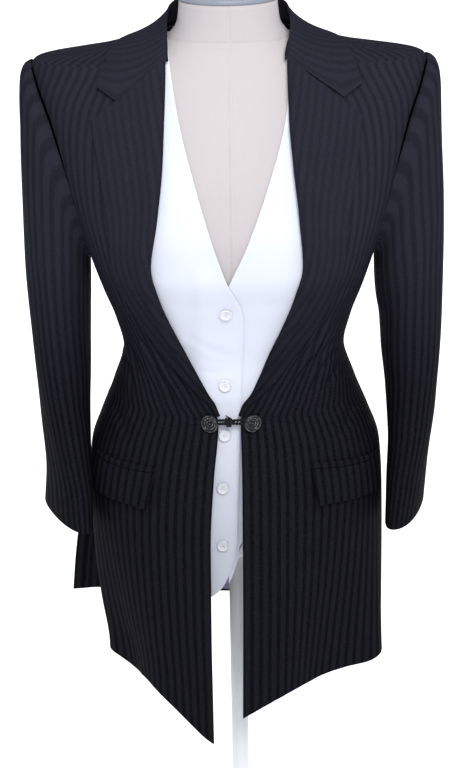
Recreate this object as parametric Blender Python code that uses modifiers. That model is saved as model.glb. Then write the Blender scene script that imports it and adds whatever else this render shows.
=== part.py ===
"""A long fitted suit coat with link buttons, worn over a waistcoat on a dress form.

Metres, +Z up, the front towards -Y. The origin is on the floor under the middle of the round base.
The right side is the wearer's right, at -X, and the left side is at +X.
"""
from math import cos, pi, radians, sin

import bmesh
import bpy
import numpy as np
from mathutils import Vector

COLLECTION = "pinstripe_suit_on_dress_form"
RIGHT = -1
LEFT = 1
SIDE_NAMES = {RIGHT: "right", LEFT: "left"}

# Cloth thicknesses, and the clearances between layers
GAP = 0.0003
SEAM = 0.0005
SLEEVE_SEAM = 0.0008
SLEEVE_CLEARANCE = 0.0012
COAT_WALL = 0.0020
LAPEL_WALL = 0.0018
WAISTCOAT_WALL = 0.0015
LINING_WALL = 0.0010
JET_WALL = 0.0012
WAISTCOAT_EASE = 0.0023
LAPEL_LIFT = 0.0034
FLAP_LIFT = 0.0017

# Heights above the floor
HEM_HEIGHT = 0.615
FRONT_POINT_HEIGHT = {RIGHT: 0.543, LEFT: 0.582}
VENT_TOP = 0.860
LINK_HEIGHT = 0.968
ARMHOLE_BOTTOM = 1.146
ARMHOLE_TOP = 1.378
GORGE_HEIGHT = 1.3855
FORM_BOTTOM = 0.790
FORM_WIDEST = 0.830
FORM_TOP = 1.446

# Radii that turn the width of a seam into an angle
BODY_RADIUS = 0.150
SHOULDER_RADIUS = 0.060
WAISTCOAT_RADIUS = 0.120
SLEEVE_RADIUS = 0.050

ARMHOLE_REACH = radians(24)
ARMHOLE_ROUNDNESS = 2.2


def table(columns, rows):
    """Give the rows of a table as one array for each named column."""
    return dict(zip(columns.split(), np.array(rows, float).T))


def along(rows, column, height):
    """Read a column at any height, on a smooth curve that never overshoots its rows."""
    x = rows["height"]
    y = rows[column]
    step = np.diff(x)
    rise = np.diff(y) / step
    slope = np.zeros_like(y)
    same = rise[1:] * rise[:-1] > 0
    near = 2 * step[1:] + step[:-1]
    far = step[1:] + 2 * step[:-1]
    with np.errstate(divide="ignore", invalid="ignore"):
        mean = (near + far) / (near / rise[:-1] + far / rise[1:])
    slope[1:-1] = np.where(same, mean, 0.0)
    slope[0] = rise[0]
    slope[-1] = rise[-1]
    at = np.clip(np.asarray(height, float), x[0], x[-1])
    k = np.clip(np.searchsorted(x, at) - 1, 0, len(x) - 2)
    t = (at - x[k]) / step[k]
    return ((2 * t ** 3 - 3 * t ** 2 + 1) * y[k] + (t ** 3 - 2 * t ** 2 + t) * step[k] * slope[k]
            + (3 * t ** 2 - 2 * t ** 3) * y[k + 1] + (t ** 3 - t ** 2) * step[k] * slope[k + 1])


# Sections of the form and of the coat: half width, reach to the front and to the back,
# and the squareness of the front and back halves, where 2 is an ellipse
SECTIONS = table(
    "height form_wide form_front form_back coat_wide coat_front coat_back square_front square_back", [
        (0.550, 0.140, 0.094, 0.108, 0.1860, 0.152, 0.125, 1.50, 2.6),
        (0.620, 0.140, 0.094, 0.108, 0.1855, 0.150, 0.125, 1.55, 2.6),
        (0.690, 0.140, 0.094, 0.108, 0.1850, 0.146, 0.124, 1.70, 2.6),
        (0.760, 0.148, 0.098, 0.110, 0.1845, 0.141, 0.123, 1.95, 2.6),
        (0.840, 0.158, 0.103, 0.113, 0.1830, 0.135, 0.122, 2.25, 2.5),
        (0.900, 0.158, 0.103, 0.110, 0.1790, 0.130, 0.119, 2.40, 2.4),
        (0.935, 0.149, 0.100, 0.103, 0.1670, 0.122, 0.112, 2.40, 2.4),
        (0.980, 0.134, 0.095, 0.091, 0.1490, 0.111, 0.100, 2.35, 2.3),
        (1.030, 0.122, 0.091, 0.080, 0.1345, 0.106, 0.089, 2.30, 2.3),
        (1.070, 0.128, 0.098, 0.083, 0.1430, 0.112, 0.092, 2.35, 2.3),
        (1.110, 0.139, 0.112, 0.091, 0.1570, 0.124, 0.100, 2.45, 2.3),
        (1.150, 0.150, 0.128, 0.101, 0.1690, 0.139, 0.109, 2.60, 2.4),
        (1.190, 0.158, 0.132, 0.109, 0.1820, 0.143, 0.116, 2.60, 2.4),
        (1.235, 0.165, 0.122, 0.115, 0.1980, 0.135, 0.1225, 2.50, 2.4),
        (1.285, 0.171, 0.104, 0.117, 0.2120, 0.118, 0.1250, 2.40, 2.4),
        (1.320, 0.172, 0.089, 0.112, 0.2200, 0.102, 0.1200, 2.40, 2.4),
        (1.345, 0.164, 0.077, 0.103, 0.2260, 0.089, 0.1115, 2.40, 2.4),
        (1.360, 0.150, 0.069, 0.094, 0.2280, 0.079, 0.1025, 2.40, 2.4),
        (1.375, 0.128, 0.062, 0.083, 0.2285, 0.070, 0.091, 2.40, 2.4),
        (1.380, 0.118, 0.060, 0.079, 0.2255, 0.067, 0.087, 2.40, 2.4),
        (1.3845, 0.109, 0.058, 0.075, 0.1980, 0.064, 0.084, 2.40, 2.4),
        (1.389, 0.099, 0.055, 0.071, 0.1640, 0.062, 0.081, 2.40, 2.4),
        (1.396, 0.085, 0.052, 0.066, 0.1300, 0.058, 0.077, 2.40, 2.4),
        (1.402, 0.075, 0.050, 0.062, 0.1020, 0.054, 0.073, 2.35, 2.3),
        (1.409, 0.067, 0.049, 0.058, 0.0780, 0.050, 0.069, 2.30, 2.3),
        (1.420, 0.060, 0.048, 0.055, 0.0760, 0.048, 0.067, 2.20, 2.2),
        (1.440, 0.057, 0.047, 0.051, 0.0740, 0.046, 0.064, 2.00, 2.0),
    ])

# How far each front skirt swings in from the section's half width
SKIRT_SWING = table("height right left", [
    (0.550, 0.0330, 0.0010),
    (0.620, 0.0280, 0.0005),
    (0.690, 0.0150, 0.0000),
    (0.760, 0.0055, 0.0000),
    (0.840, 0.0005, 0.0000),
    (0.860, 0.0000, 0.0000),
])

# The back skirt hangs nearly flat below the vents: its two side edges and its distance behind
BACK_SKIRT = table("height right_edge left_edge back corner_back", [
    (0.600, 0.2270, 0.1880, 0.128, 0.142),
    (0.620, 0.2250, 0.1870, 0.128, 0.140),
    (0.680, 0.2180, 0.1860, 0.127, 0.128),
    (0.740, 0.2080, 0.1850, 0.126, 0.112),
    (0.800, 0.1900, 0.1800, 0.124, 0.090),
    (0.860, 0.1650, 0.1650, 0.122, 0.066),
])

# Angle of the side-back seam from the front, under the armhole, and half of its gap
SIDE_SEAM = table("height angle gap", [
    (0.550, 118.0, 0.0005), (0.860, 117.0, 0.0005), (0.940, 112.0, 0.0005), (1.030, 106.0, 0.0005),
    (1.100, 98.0, 0.0006), (1.146, 90.0, 0.0013),
])

# The coat's front edges in front view, which turn into the roll lines above the link
FRONT_EDGE = table("height right left", [
    (0.550, -0.0340, 0.0030),
    (0.650, -0.0340, 0.0045),
    (0.750, -0.0330, 0.0060),
    (0.820, -0.0320, 0.0065),
    (0.900, -0.0265, 0.0070),
    (0.968, -0.0200, 0.0065),
    (0.985, -0.0210, 0.0090),
    (1.000, -0.0280, 0.0190),
    (1.020, -0.0385, 0.0290),
    (1.050, -0.0530, 0.0420),
    (1.085, -0.0690, 0.0590),
    (1.125, -0.0840, 0.0730),
    (1.163, -0.0915, 0.0800),
    (1.220, -0.0845, 0.0755),
    (1.280, -0.0780, 0.0710),
    (1.330, -0.0750, 0.0680),
    (1.387, -0.0710, 0.0690),
    (1.404, -0.0715, 0.0715),
    (1.410, -0.0730, 0.0730),
])

# Width of the lapel from the roll line, in front view
LAPEL_WIDTH = table("height width", [
    (0.978, 0.0040), (0.995, 0.0130), (1.020, 0.0240), (1.050, 0.0330), (1.080, 0.0395), (1.130, 0.0440),
    (1.190, 0.0500), (1.250, 0.0640), (1.290, 0.0740), (1.330, 0.0820),
])
LAPEL_POINT_HEIGHT = 1.326
NOTCH_SHARE = 0.70
ROLL_SWELL = 0.0022
ROLL_SHARE = 0.13
ROLL_TURN = 0.0014
NOTCH_HEIGHT = 1.3440

# Folds of the skirts: place across the panel (0 at its front or centre back edge), half width there,
# how far the fold stands out at the hem, and the height where it starts
FRONT_FOLDS = {
    RIGHT: table("place width depth top", [
        (0.26, 0.080, 0.0050, 0.900), (0.48, 0.080, -0.0060, 0.860), (0.66, 0.080, 0.0120, 0.840),
    ]),
    LEFT: table("place width depth top", [
        (0.14, 0.070, 0.0040, 0.900), (0.33, 0.100, -0.0130, 0.860), (0.56, 0.090, 0.0200, 0.840),
    ]),
}
BACK_FOLDS = {
    RIGHT: table("place width depth top", [
        (0.28, 0.110, 0.0090, 0.880), (0.55, 0.100, -0.0080, 0.850), (0.84, 0.120, 0.0100, 0.860),
    ]),
    LEFT: table("place width depth top", [
        (0.24, 0.110, 0.0080, 0.880), (0.52, 0.100, -0.0080, 0.850), (0.80, 0.120, 0.0090, 0.860),
    ]),
}

# The collar from its front end at the gorge round to the centre back: the crest that it rolls over,
# the middle of its fall, its outer edge, and the foot of its stand at the neck seam
COLLAR = table(
    "crest_x crest_y crest_z fall_x fall_y fall_z edge_x edge_y edge_z foot_x foot_y foot_z", [
        (0.0700, -0.0630, 1.3895, 0.1285, -0.0825, 1.3490, 0.1500, -0.0730, 1.3630, 0.0655, -0.0600, 1.3880),
        (0.0690, -0.0560, 1.4000, 0.1080, -0.0700, 1.3790, 0.1440, -0.0640, 1.3770, 0.0665, -0.0500, 1.3980),
        (0.0690, -0.0340, 1.4160, 0.1000, -0.0440, 1.4020, 0.1350, -0.0370, 1.3970, 0.0700, -0.0330, 1.4110),
        (0.0690, -0.0040, 1.4290, 0.0880, -0.0060, 1.4150, 0.1240, -0.0020, 1.4035, 0.0740, -0.0060, 1.4130),
        (0.0660, 0.0240, 1.4380, 0.0810, 0.0300, 1.4190, 0.1060, 0.0370, 1.4030, 0.0715, 0.0240, 1.4130),
        (0.0530, 0.0460, 1.4440, 0.0640, 0.0570, 1.4230, 0.0820, 0.0645, 1.4000, 0.0590, 0.0460, 1.4130),
        (0.0290, 0.0610, 1.4480, 0.0350, 0.0735, 1.4260, 0.0450, 0.0800, 1.3980, 0.0320, 0.0620, 1.4130),
        (0.0000, 0.0660, 1.4490, 0.0000, 0.0780, 1.4260, 0.0000, 0.0835, 1.3970, 0.0000, 0.0665, 1.4130),
    ])

# Rings of the sleeve from the armhole to the cuff: middle, half width, level, half of the ring's fall
# from its outer to its inner side, middle and half depth from front to back, then for each side its
# turn towards the front in degrees and how far it hangs out
SLEEVE = table("step middle wide level rise centre depth turn_right turn_left lean_right lean_left", [
    (0.00, 0.1990, 0.0305, 1.2610, 0.1170, 0.002, 0.059, 0.0, 0.0, 0.000, 0.000),
    (0.05, 0.2050, 0.0340, 1.2565, 0.1180, 0.003, 0.062, 0.0, 0.0, 0.000, 0.000),
    (0.10, 0.2070, 0.0362, 1.2440, 0.1180, 0.004, 0.063, 0.0, 0.0, 0.000, 0.000),
    (0.18, 0.2085, 0.0370, 1.2210, 0.1140, 0.004, 0.063, 0.0, 0.0, 0.000, 0.000),
    (0.28, 0.2100, 0.0374, 1.1830, 0.1000, 0.004, 0.062, 0.0, 0.0, 0.000, 0.001),
    (0.39, 0.2120, 0.0372, 1.1350, 0.0780, 0.003, 0.061, 0.0, 0.0, -0.001, 0.003),
    (0.50, 0.2127, 0.0368, 1.0760, 0.0530, 0.000, 0.060, 2.0, 2.0, -0.001, 0.004),
    (0.62, 0.2127, 0.0338, 1.0050, 0.0300, -0.009, 0.060, 6.0, 5.0, -0.002, 0.006),
    (0.75, 0.2115, 0.0290, 0.9360, 0.0150, -0.024, 0.061, 12.0, 9.0, -0.003, 0.006),
    (0.88, 0.2090, 0.0245, 0.8730, 0.0090, -0.036, 0.063, 18.0, 12.0, -0.003, 0.003),
    (1.00, 0.2080, 0.0210, 0.8180, 0.0050, -0.043, 0.064, 23.0, 15.0, 0.001, 0.001),
])
SLEEVE_SQUARENESS = 2.2
SLEEVE_FRONT_SEAM = radians(-50)
SLEEVE_BACK_SEAM = radians(212)

# Waistcoat: its neck and front edges in front view, the hem along the front, and its armhole
WAISTCOAT_EDGE = table("height over under", [
    (0.740, 0.0010, -0.0110),
    (0.823, 0.0010, -0.0110),
    (0.900, 0.0040, -0.0140),
    (1.000, 0.0080, -0.0180),
    (1.090, 0.0115, -0.0200),
    (1.112, 0.0095, -0.0180),
    (1.128, 0.0030, -0.0120),
    (1.146, -0.0060, -0.0040),
    (1.192, -0.0220, 0.0170),
    (1.257, -0.0410, 0.0420),
    (1.320, -0.0570, 0.0610),
    (1.360, -0.0640, 0.0670),
    (1.399, -0.0690, 0.0690),
])
WAISTCOAT_HEM = table("height level", [
    (0.000, 0.812), (0.003, 0.792), (0.008, 0.771), (0.014, 0.753), (0.022, 0.738), (0.034, 0.727),
    (0.056, 0.720), (0.100, 0.737), (0.150, 0.768), (0.180, 0.780),
])
WAISTCOAT_CORNER = {"over": 0.0010, "under": -0.0110}
WAISTCOAT_BACK_HEM = 0.800
WAISTCOAT_ARMHOLE = {"bottom": 1.120, "top": 1.375, "reach": radians(38)}
LAP_EDGE = -0.0340
LAP_RISE = 0.0200
LAP_TOP = 1.160

# Lining of the back skirt: its rows and columns in the backs' own grids, and its clearance
LINING_ROWS = (0.4, 1, 2, 3, 4)
LINING_COLUMNS = (0, 1, 2, 3, 4, 5, 5.6)
LINING_GAP = 0.0036

# Pocket: the flap's front and rear ends in front view, and its level and size
POCKET_END = {
    RIGHT: {"front": 0.094, "rear": 0.1690, "front_level": 0.9120, "rear_level": 0.9105},
    LEFT: {"front": 0.087, "rear": 0.1690, "front_level": 0.9150, "rear_level": 0.9020},
}
FLAP_TAPER = (0.2, -0.3)
JET_HEIGHT = 0.007
FLAP_HEIGHT = 0.050

# Buttons: radius, thickness and length of the shank
SHANK_SHARE = 0.12
LINK_BUTTON = {"radius": 0.0110, "thick": 0.0040, "shank": 0.0048}
WAISTCOAT_BUTTON = {"radius": 0.0075, "thick": 0.0026, "shank": 0.0010}
CUFF_BUTTON = {"radius": 0.0070, "thick": 0.0028, "shank": 0.0010}
LINK_BUTTON_PLACE = {RIGHT: -0.0303, LEFT: 0.0190}
WAISTCOAT_BUTTON_HEIGHTS = (1.104, 1.009, 0.948, 0.879, 0.802)
WAISTCOAT_BUTTON_INSET = 0.0205
CUFF_BUTTON_HEIGHTS = (0.8740, 0.8530, 0.8320)
CUFF_BUTTON_COLUMN = 9.5
LINK_LOOP = {"wire": 0.0010, "half_height": 0.0030, "meet": -0.0083, "overlap": 0.0040}

# Stand
POLE_RADIUS = 0.0110
SOCKET_RADIUS = 0.0190
SOCKET_LENGTH = 0.050
BASE_RADIUS = 0.170
BASE_THICKNESS = 0.008
BASE_EDGE = 0.003
CAP_THICKNESS = 0.006

COLOURS = {
    "coat_cloth": ((0.012, 0.012, 0.018), 0.75, 0.0),
    "lining_satin": ((0.110, 0.110, 0.180), 0.40, 0.0),
    "waistcoat_cloth": ((0.780, 0.800, 0.880), 0.80, 0.0),
    "black_button": ((0.010, 0.010, 0.012), 0.18, 0.0),
    "white_button": ((0.820, 0.820, 0.840), 0.25, 0.0),
    "link_cord": ((0.010, 0.010, 0.012), 0.45, 0.0),
    "form_cloth": ((0.760, 0.700, 0.690), 0.85, 0.0),
    "form_cap": ((0.420, 0.440, 0.480), 0.50, 0.0),
    "stand_paint": ((0.800, 0.800, 0.790), 0.40, 0.0),
}


def side_value(rows, side, height):
    """Read the column of a side from a table."""
    return along(rows, SIDE_NAMES[side], height)


def section(kind, height, angle, side=LEFT):
    """Point of a section: the angle runs from 0 at the front through 90 at the side to 180 at the back."""
    height, angle = np.broadcast_arrays(np.asarray(height, float), np.asarray(angle, float))
    wide = along(SECTIONS, kind + "_wide", height)
    if kind == "coat":
        wide = wide - side_value(SKIRT_SWING, side, height)
    facing = np.cos(angle) >= 0
    ahead = along(SECTIONS, kind + "_front", height)
    behind = along(SECTIONS, kind + "_back", height)
    reach = np.where(facing, ahead, behind)
    square = np.where(facing, along(SECTIONS, "square_front", height), along(SECTIONS, "square_back", height))
    across = np.sign(np.sin(angle)) * wide * np.abs(np.sin(angle)) ** (2 / square)
    ahead = -np.sign(np.cos(angle)) * reach * np.abs(np.cos(angle)) ** (2 / square)
    return np.stack([side * across, ahead, height], -1)


def angle_of(kind, height, x, side=LEFT):
    """Angle at which a section's front half has the given distance from the middle, towards its side."""
    wide = along(SECTIONS, kind + "_wide", height)
    if kind == "coat":
        wide = wide - side_value(SKIRT_SWING, side, height)
    square = along(SECTIONS, "square_front", height)
    share = np.clip(side * np.asarray(x, float) / wide, -0.999, 0.999)
    return np.sign(share) * np.arcsin(np.abs(share) ** (square / 2))


def outward(points):
    """Unit normals of a grid of points, from its own rows and columns."""
    down = np.gradient(points, axis=0)
    across = np.gradient(points, axis=1)
    normal = np.cross(across, down)
    normal /= np.linalg.norm(normal, axis=-1, keepdims=True)
    middle = points.reshape(-1, 3).mean(0) * (1, 0, 1) + (0, 0.01, 0)
    return normal * np.sign(np.sum(normal * (points - middle), axis=(-1, -2, -3), keepdims=True))


def armhole_cut(height, bottom=ARMHOLE_BOTTOM, top=ARMHOLE_TOP, reach=ARMHOLE_REACH):
    """How far the armhole's edge lies from the side, as an angle, at a height."""
    place = np.clip((2 * height - top - bottom) / (top - bottom), -1, 1)
    return reach * (1 - np.abs(place) ** ARMHOLE_ROUNDNESS) ** (1 / ARMHOLE_ROUNDNESS)


def fold_shift(folds, place, height):
    """Distance that the folds push a panel out, growing from each fold's top to the hem."""
    shift = np.zeros_like(place)
    for centre, width, depth, top in zip(folds["place"], folds["width"], folds["depth"], folds["top"]):
        ramp = np.clip((top - height) / (top - HEM_HEIGHT), 0, 1.2)
        shift = shift + depth * ramp ** 1.3 * np.exp(-((place - centre) / width) ** 2)
    return shift


def collection(name):
    """Make a collection in the scene."""
    made = bpy.data.collections.new(name)
    bpy.context.scene.collection.children.link(made)
    return made


def material(name):
    """Make or reuse a plain material from the colour table."""
    if name in bpy.data.materials:
        return bpy.data.materials[name]
    colour, roughness, metallic = COLOURS[name]
    made = bpy.data.materials.new(name)
    made.use_nodes = True
    shader = made.node_tree.nodes["Principled BSDF"]
    shader.inputs["Base Color"].default_value = (*colour, 1)
    shader.inputs["Roughness"].default_value = roughness
    shader.inputs["Metallic"].default_value = metallic
    return made


def add_object(name, data, slot, group):
    """Link an object with its material, shaded smooth."""
    made = bpy.data.objects.new(name, data)
    group.objects.link(made)
    data.materials.append(material(slot))
    if isinstance(data, bpy.types.Mesh):
        data.shade_smooth()
        data.set_sharp_from_angle(angle=radians(40))
    return made


def grid_mesh(name, points, loop=False):
    """Make a mesh of quads from rows of points, closed into a tube when loop is set."""
    rows, columns = points.shape[:2]
    index = np.arange(rows * columns).reshape(rows, columns)
    if loop:
        index = np.concatenate([index, index[:, :1]], axis=1)
    faces = np.stack([index[:-1, :-1], index[:-1, 1:], index[1:, 1:], index[1:, :-1]], -1).reshape(-1, 4)
    data = bpy.data.meshes.new(name)
    data.from_pydata(points.reshape(-1, 3).tolist(), [], faces.tolist())
    return data


def panel(name, points, wall, slot, group):
    """A piece of cloth: its outer surface as a grid, with a wall added on the inside."""
    data = grid_mesh(name, points)
    facing = outward(points)
    middle = tuple(min(size // 2, size - 2) for size in points.shape[:2])
    face = data.polygons[middle[0] * (points.shape[1] - 1) + middle[1]]
    if np.dot(face.normal, facing[middle]) < 0:
        data.flip_normals()
    made = add_object(name, data, slot, group)
    solid = made.modifiers.new("wall", "SOLIDIFY")
    solid.thickness = wall
    solid.offset = -1
    return made


def sub_grid(points, row_ends, column_ends, lift, taper=(0, 0)):
    """Part of a grid, with lines at its own lines and at both ends, moved out by lift.

    The taper moves the lower corners along the columns.
    """
    moved = points + outward(points) * lift
    start, end = column_ends
    inner = np.arange(np.ceil(start + 0.25), np.floor(end - 0.25) + 1)
    columns = np.concatenate([[start], inner, [end]])
    share = (columns - start) / (end - start)
    top = row_ends[0][0] + (row_ends[0][1] - row_ends[0][0]) * share
    bottom = row_ends[1][0] + (row_ends[1][1] - row_ends[1][0]) * share
    steps = np.linspace(0, 1, max(2, int(np.ceil(abs(bottom - top).max())) + 1))[:, None]
    row = top + (bottom - top) * steps
    column = np.repeat(columns[None, :], len(steps), axis=0)
    column[:, 0] += taper[0] * steps[:, 0]
    column[:, -1] += taper[1] * steps[:, 0]
    return grid_mix(moved, row, column)


def grid_mix(values, row, column):
    """Values of a grid at rows and columns that need not be whole."""
    r = np.clip(np.floor(row).astype(int), 0, values.shape[0] - 2)
    c = np.clip(np.floor(column).astype(int), 0, values.shape[1] - 2)
    down = (row - r)[..., None]
    over = (column - c)[..., None]
    return ((1 - down) * ((1 - over) * values[r, c] + over * values[r, c + 1])
            + down * ((1 - over) * values[r + 1, c] + over * values[r + 1, c + 1]))


COAT_LEVELS = np.array([
    0.615, 0.660, 0.705, 0.750, 0.795, 0.835, 0.865, 0.900, 0.935, 0.968, 1.000, 1.030, 1.060, 1.090, 1.120,
    1.146, 1.151, 1.168, 1.195, 1.230, 1.265, 1.300, 1.330, 1.355, 1.370, 1.378, 1.3825, 1.388, 1.394, 1.401,
    1.408,
])
BODY_LEVELS = np.array([
    0.865, 0.920, 0.965, 1.005, 1.030, 1.055, 1.085, 1.120, 1.126, 1.145, 1.170, 1.200, 1.235, 1.275, 1.315,
    1.345, 1.362, 1.3745, 1.381, 1.389, 1.397,
])
FRONT_COLUMNS = 10
BACK_COLUMNS = 7
SKIRT_JOIN = 0.865


def hem_drop(level, share, side):
    """Lower the skirt's rows so that the hem dips to a point at the front edge."""
    depth = HEM_HEIGHT - FRONT_POINT_HEIGHT[side]
    drop = depth * (1 - share) ** 3.4
    ramp = np.clip((SKIRT_JOIN - level) / (SKIRT_JOIN - HEM_HEIGHT), 0, 1)
    return level - drop * ramp


def coat_front_points(side, columns=FRONT_COLUMNS, levels=COAT_LEVELS):
    """Outer surface of a coat front, from its front edge round to the side-back seam or the armhole."""
    share = np.linspace(0, 1, columns)
    height = hem_drop(levels[:, None], share[None, :], side)
    edge = angle_of("coat", height, side_value(FRONT_EDGE, side, height), side)
    seam = np.radians(along(SIDE_SEAM, "angle", height)) - along(SIDE_SEAM, "gap", height) / BODY_RADIUS
    shoulder = np.full_like(height, pi / 2 - SEAM / SHOULDER_RADIUS)
    armhole = pi / 2 - SEAM / SHOULDER_RADIUS - armhole_cut(height)
    end = np.where(height < ARMHOLE_BOTTOM, seam, np.where(height > ARMHOLE_TOP, shoulder, armhole))
    angle = edge + (end - edge) * share
    points = section("coat", height, angle, side)
    shift = fold_shift(FRONT_FOLDS[side], np.broadcast_to(share, height.shape), height)
    return points + outward(points) * shift[..., None]


def back_skirt_points(side, height, share):
    """The back skirt below the vents: nearly flat, with its corner swung out and back."""
    edge = along(BACK_SKIRT, SIDE_NAMES[side] + "_edge", height)
    back = along(BACK_SKIRT, "back", height)
    corner = along(BACK_SKIRT, "corner_back", height)
    x = side * (GAP / 2 + (edge - GAP / 2) * share)
    return np.stack([x, back + (corner - back) * share ** 3, height], -1)


def coat_back_points(side, columns=BACK_COLUMNS, levels=COAT_LEVELS, reach=1.0):
    """Outer surface of a coat back, from the centre back seam to the side-back seam or the armhole."""
    share = np.linspace(0, reach, columns)
    height = np.repeat(levels[:, None], columns, axis=1)
    seam = np.radians(along(SIDE_SEAM, "angle", height)) + along(SIDE_SEAM, "gap", height) / BODY_RADIUS
    shoulder = np.full_like(height, pi / 2 + SEAM / SHOULDER_RADIUS)
    armhole = pi / 2 + SEAM / SHOULDER_RADIUS + armhole_cut(height)
    end = np.where(height < ARMHOLE_BOTTOM, seam, np.where(height > ARMHOLE_TOP, shoulder, armhole))
    angle = pi + (end - pi) * share
    points = section("coat", height, angle, side)
    points[:, 0, 0] = side * GAP / 2
    flat = back_skirt_points(side, height, np.broadcast_to(share, height.shape))
    blend = np.clip((VENT_TOP + 0.01 - height) / 0.10, 0, 1)
    blend = (blend * blend * (3 - 2 * blend))[..., None]
    points = points * (1 - blend) + flat * blend
    shift = fold_shift(BACK_FOLDS[side], np.broadcast_to(share, height.shape), height)
    points[..., 1] += shift
    return points


def lapel_top(share):
    """Height of the lapel's upper end: along the gorge to the notch, then out to the point."""
    return np.interp(share, (0, NOTCH_SHARE, 1), (GORGE_HEIGHT, NOTCH_HEIGHT, LAPEL_POINT_HEIGHT))


def lapel_points(side, columns=7, rows=15):
    """A lapel laid on its front: rows run from the link up to the gorge, columns out from the roll line."""
    share = np.linspace(0, 1, columns)
    share[-3] = NOTCH_SHARE
    bottom = LAPEL_WIDTH["height"][0]
    rise = np.linspace(0, 1, rows)[:, None]
    height = bottom + (lapel_top(share)[None, :] - bottom) * rise
    roll = side_value(FRONT_EDGE, side, height)
    width = along(LAPEL_WIDTH, "width", height)
    x = roll + side * width * share
    angle = angle_of("coat", height, x, side)
    points = section("coat", height, angle, side)
    facing = outward(points)
    # the roll swells where the cloth turns over, and the edge lies close
    lift = LAPEL_LIFT + ROLL_SWELL * np.exp(-((share - ROLL_SHARE) / ROLL_SHARE) ** 2)
    points = points + facing * np.broadcast_to(lift, height.shape)[..., None]
    points[:, 0] = points[:, 0] + (-side * ROLL_TURN, ROLL_TURN / 2, 0)
    return points


def collar_points(rows_per_side=11, across=6):
    """The collar as one grid from its right end round the neck to its left end."""
    step = np.linspace(0, len(COLLAR["foot_x"]) - 1, rows_per_side)
    knots = {"height": np.arange(len(COLLAR["foot_x"]), dtype=float), **COLLAR}

    def read(name):
        return np.stack([along(knots, name + axis, step) for axis in ("_x", "_y", "_z")], -1)

    crest = read("crest")
    fall = read("fall")
    edge = read("edge")
    foot = read("foot")
    share = np.linspace(0, 1, across)[1:, None, None]
    share[-3] = NOTCH_SHARE
    middle = 2 * fall - 0.5 * (crest + edge)
    turned = (1 - share) ** 2 * crest + 2 * share * (1 - share) * middle + share ** 2 * edge
    # at its front end the fall runs along the gorge to the notch, then up to the collar's point
    straight = np.where(share < NOTCH_SHARE, crest + (fall - crest) * share / NOTCH_SHARE,
                        fall + (edge - fall) * (share - NOTCH_SHARE) / (1 - NOTCH_SHARE))
    front = np.clip(1 - step / 1.0, 0, 1)[None, :, None]
    turned = turned * (1 - front) + straight * front
    stand = foot + (crest - foot) * 0.75
    half = np.concatenate([foot[None], stand[None], crest[None] + (0, 0, 0.0012), turned]).transpose(1, 0, 2)
    return np.concatenate([half * (-1, 1, 1), half[::-1][1:]])


def sleeve_ring(side, step, turn_angle):
    """Points of the sleeve: step 0 at the armhole to 1 at the cuff, 0 degrees at the front, 90 on top."""
    knots = {"height": SLEEVE["step"], **{k: v for k, v in SLEEVE.items() if k != "step"}}
    a = np.sign(np.sin(turn_angle)) * np.abs(np.sin(turn_angle)) ** (2 / SLEEVE_SQUARENESS)
    b = np.sign(np.cos(turn_angle)) * np.abs(np.cos(turn_angle)) ** (2 / SLEEVE_SQUARENESS)
    wide = along(knots, "wide", step) * a
    deep = -along(knots, "depth", step) * b
    turn = np.radians(along(knots, "turn_" + SIDE_NAMES[side], step))
    x = along(knots, "middle", step) + along(knots, "lean_" + SIDE_NAMES[side], step)
    x = x + wide * np.cos(turn) + deep * np.sin(turn)
    y = along(knots, "centre", step) - wide * np.sin(turn) + deep * np.cos(turn)
    z = along(knots, "level", step) + along(knots, "rise", step) * a
    free = np.stack([side * x, y, z], -1)
    # the first rings follow the armhole's edge on the coat
    edge_height = (ARMHOLE_TOP + ARMHOLE_BOTTOM) / 2 + (ARMHOLE_TOP - ARMHOLE_BOTTOM) / 2 * a
    edge = section("coat", edge_height, pi / 2 - ARMHOLE_REACH * b, side) + (side * SLEEVE_CLEARANCE, 0, 0)
    blend = np.clip(1 - step / 0.10, 0, 1)[..., None]
    return free * (1 - blend ** 2) + edge * blend ** 2


def sleeve_points(side, start, end, rows, columns):
    """A sleeve panel between two seams."""
    step = np.linspace(0, 1, rows) ** 1.25
    step, angle = np.meshgrid(step, np.linspace(start, end, columns), indexing="ij")
    return sleeve_ring(side, step, angle)


def waistcoat_front_points(side, lap, columns=8, hem_rows=5):
    """A waistcoat front, from its neck and front edge to the side seam or the armhole."""
    hole = WAISTCOAT_ARMHOLE
    lowest = WAISTCOAT_HEM["level"].min()
    levels = np.concatenate([np.linspace(lowest, BODY_LEVELS[0], hem_rows, endpoint=False), BODY_LEVELS])
    share = np.linspace(0, 1, columns) ** 1.15
    height = np.repeat(levels[:, None], columns, axis=1)
    # the hem's level depends on the distance from the corner, and the distance on the level
    for _ in range(3):
        edge = angle_of("form", height, along(WAISTCOAT_EDGE, lap, height), side)
        seam = np.full_like(height, pi / 2 - SEAM / WAISTCOAT_RADIUS)
        armhole = pi / 2 - armhole_cut(height, hole["bottom"], hole["top"], hole["reach"])
        end = np.where((height > hole["bottom"]) & (height < hole["top"]), armhole, seam)
        points = section("form", height, edge + (end - edge) * share, side)
        hem = along(WAISTCOAT_HEM, "level", np.abs(points[..., 0] - WAISTCOAT_CORNER[lap]))
        ramp = np.clip((BODY_LEVELS[0] - levels) / (BODY_LEVELS[0] - lowest), 0, 1)[:, None]
        height = levels[:, None] + (hem - lowest) * ramp
    out = np.full_like(height, WAISTCOAT_EASE + WAISTCOAT_WALL)
    if lap == "over":
        rise = np.clip((points[..., 0] - LAP_EDGE) / LAP_RISE + 1, 0, 1)
        out += (WAISTCOAT_WALL + 4 * GAP) * rise * rise * (3 - 2 * rise) * (height < LAP_TOP)
    return points + outward(points) * out[..., None]


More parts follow.
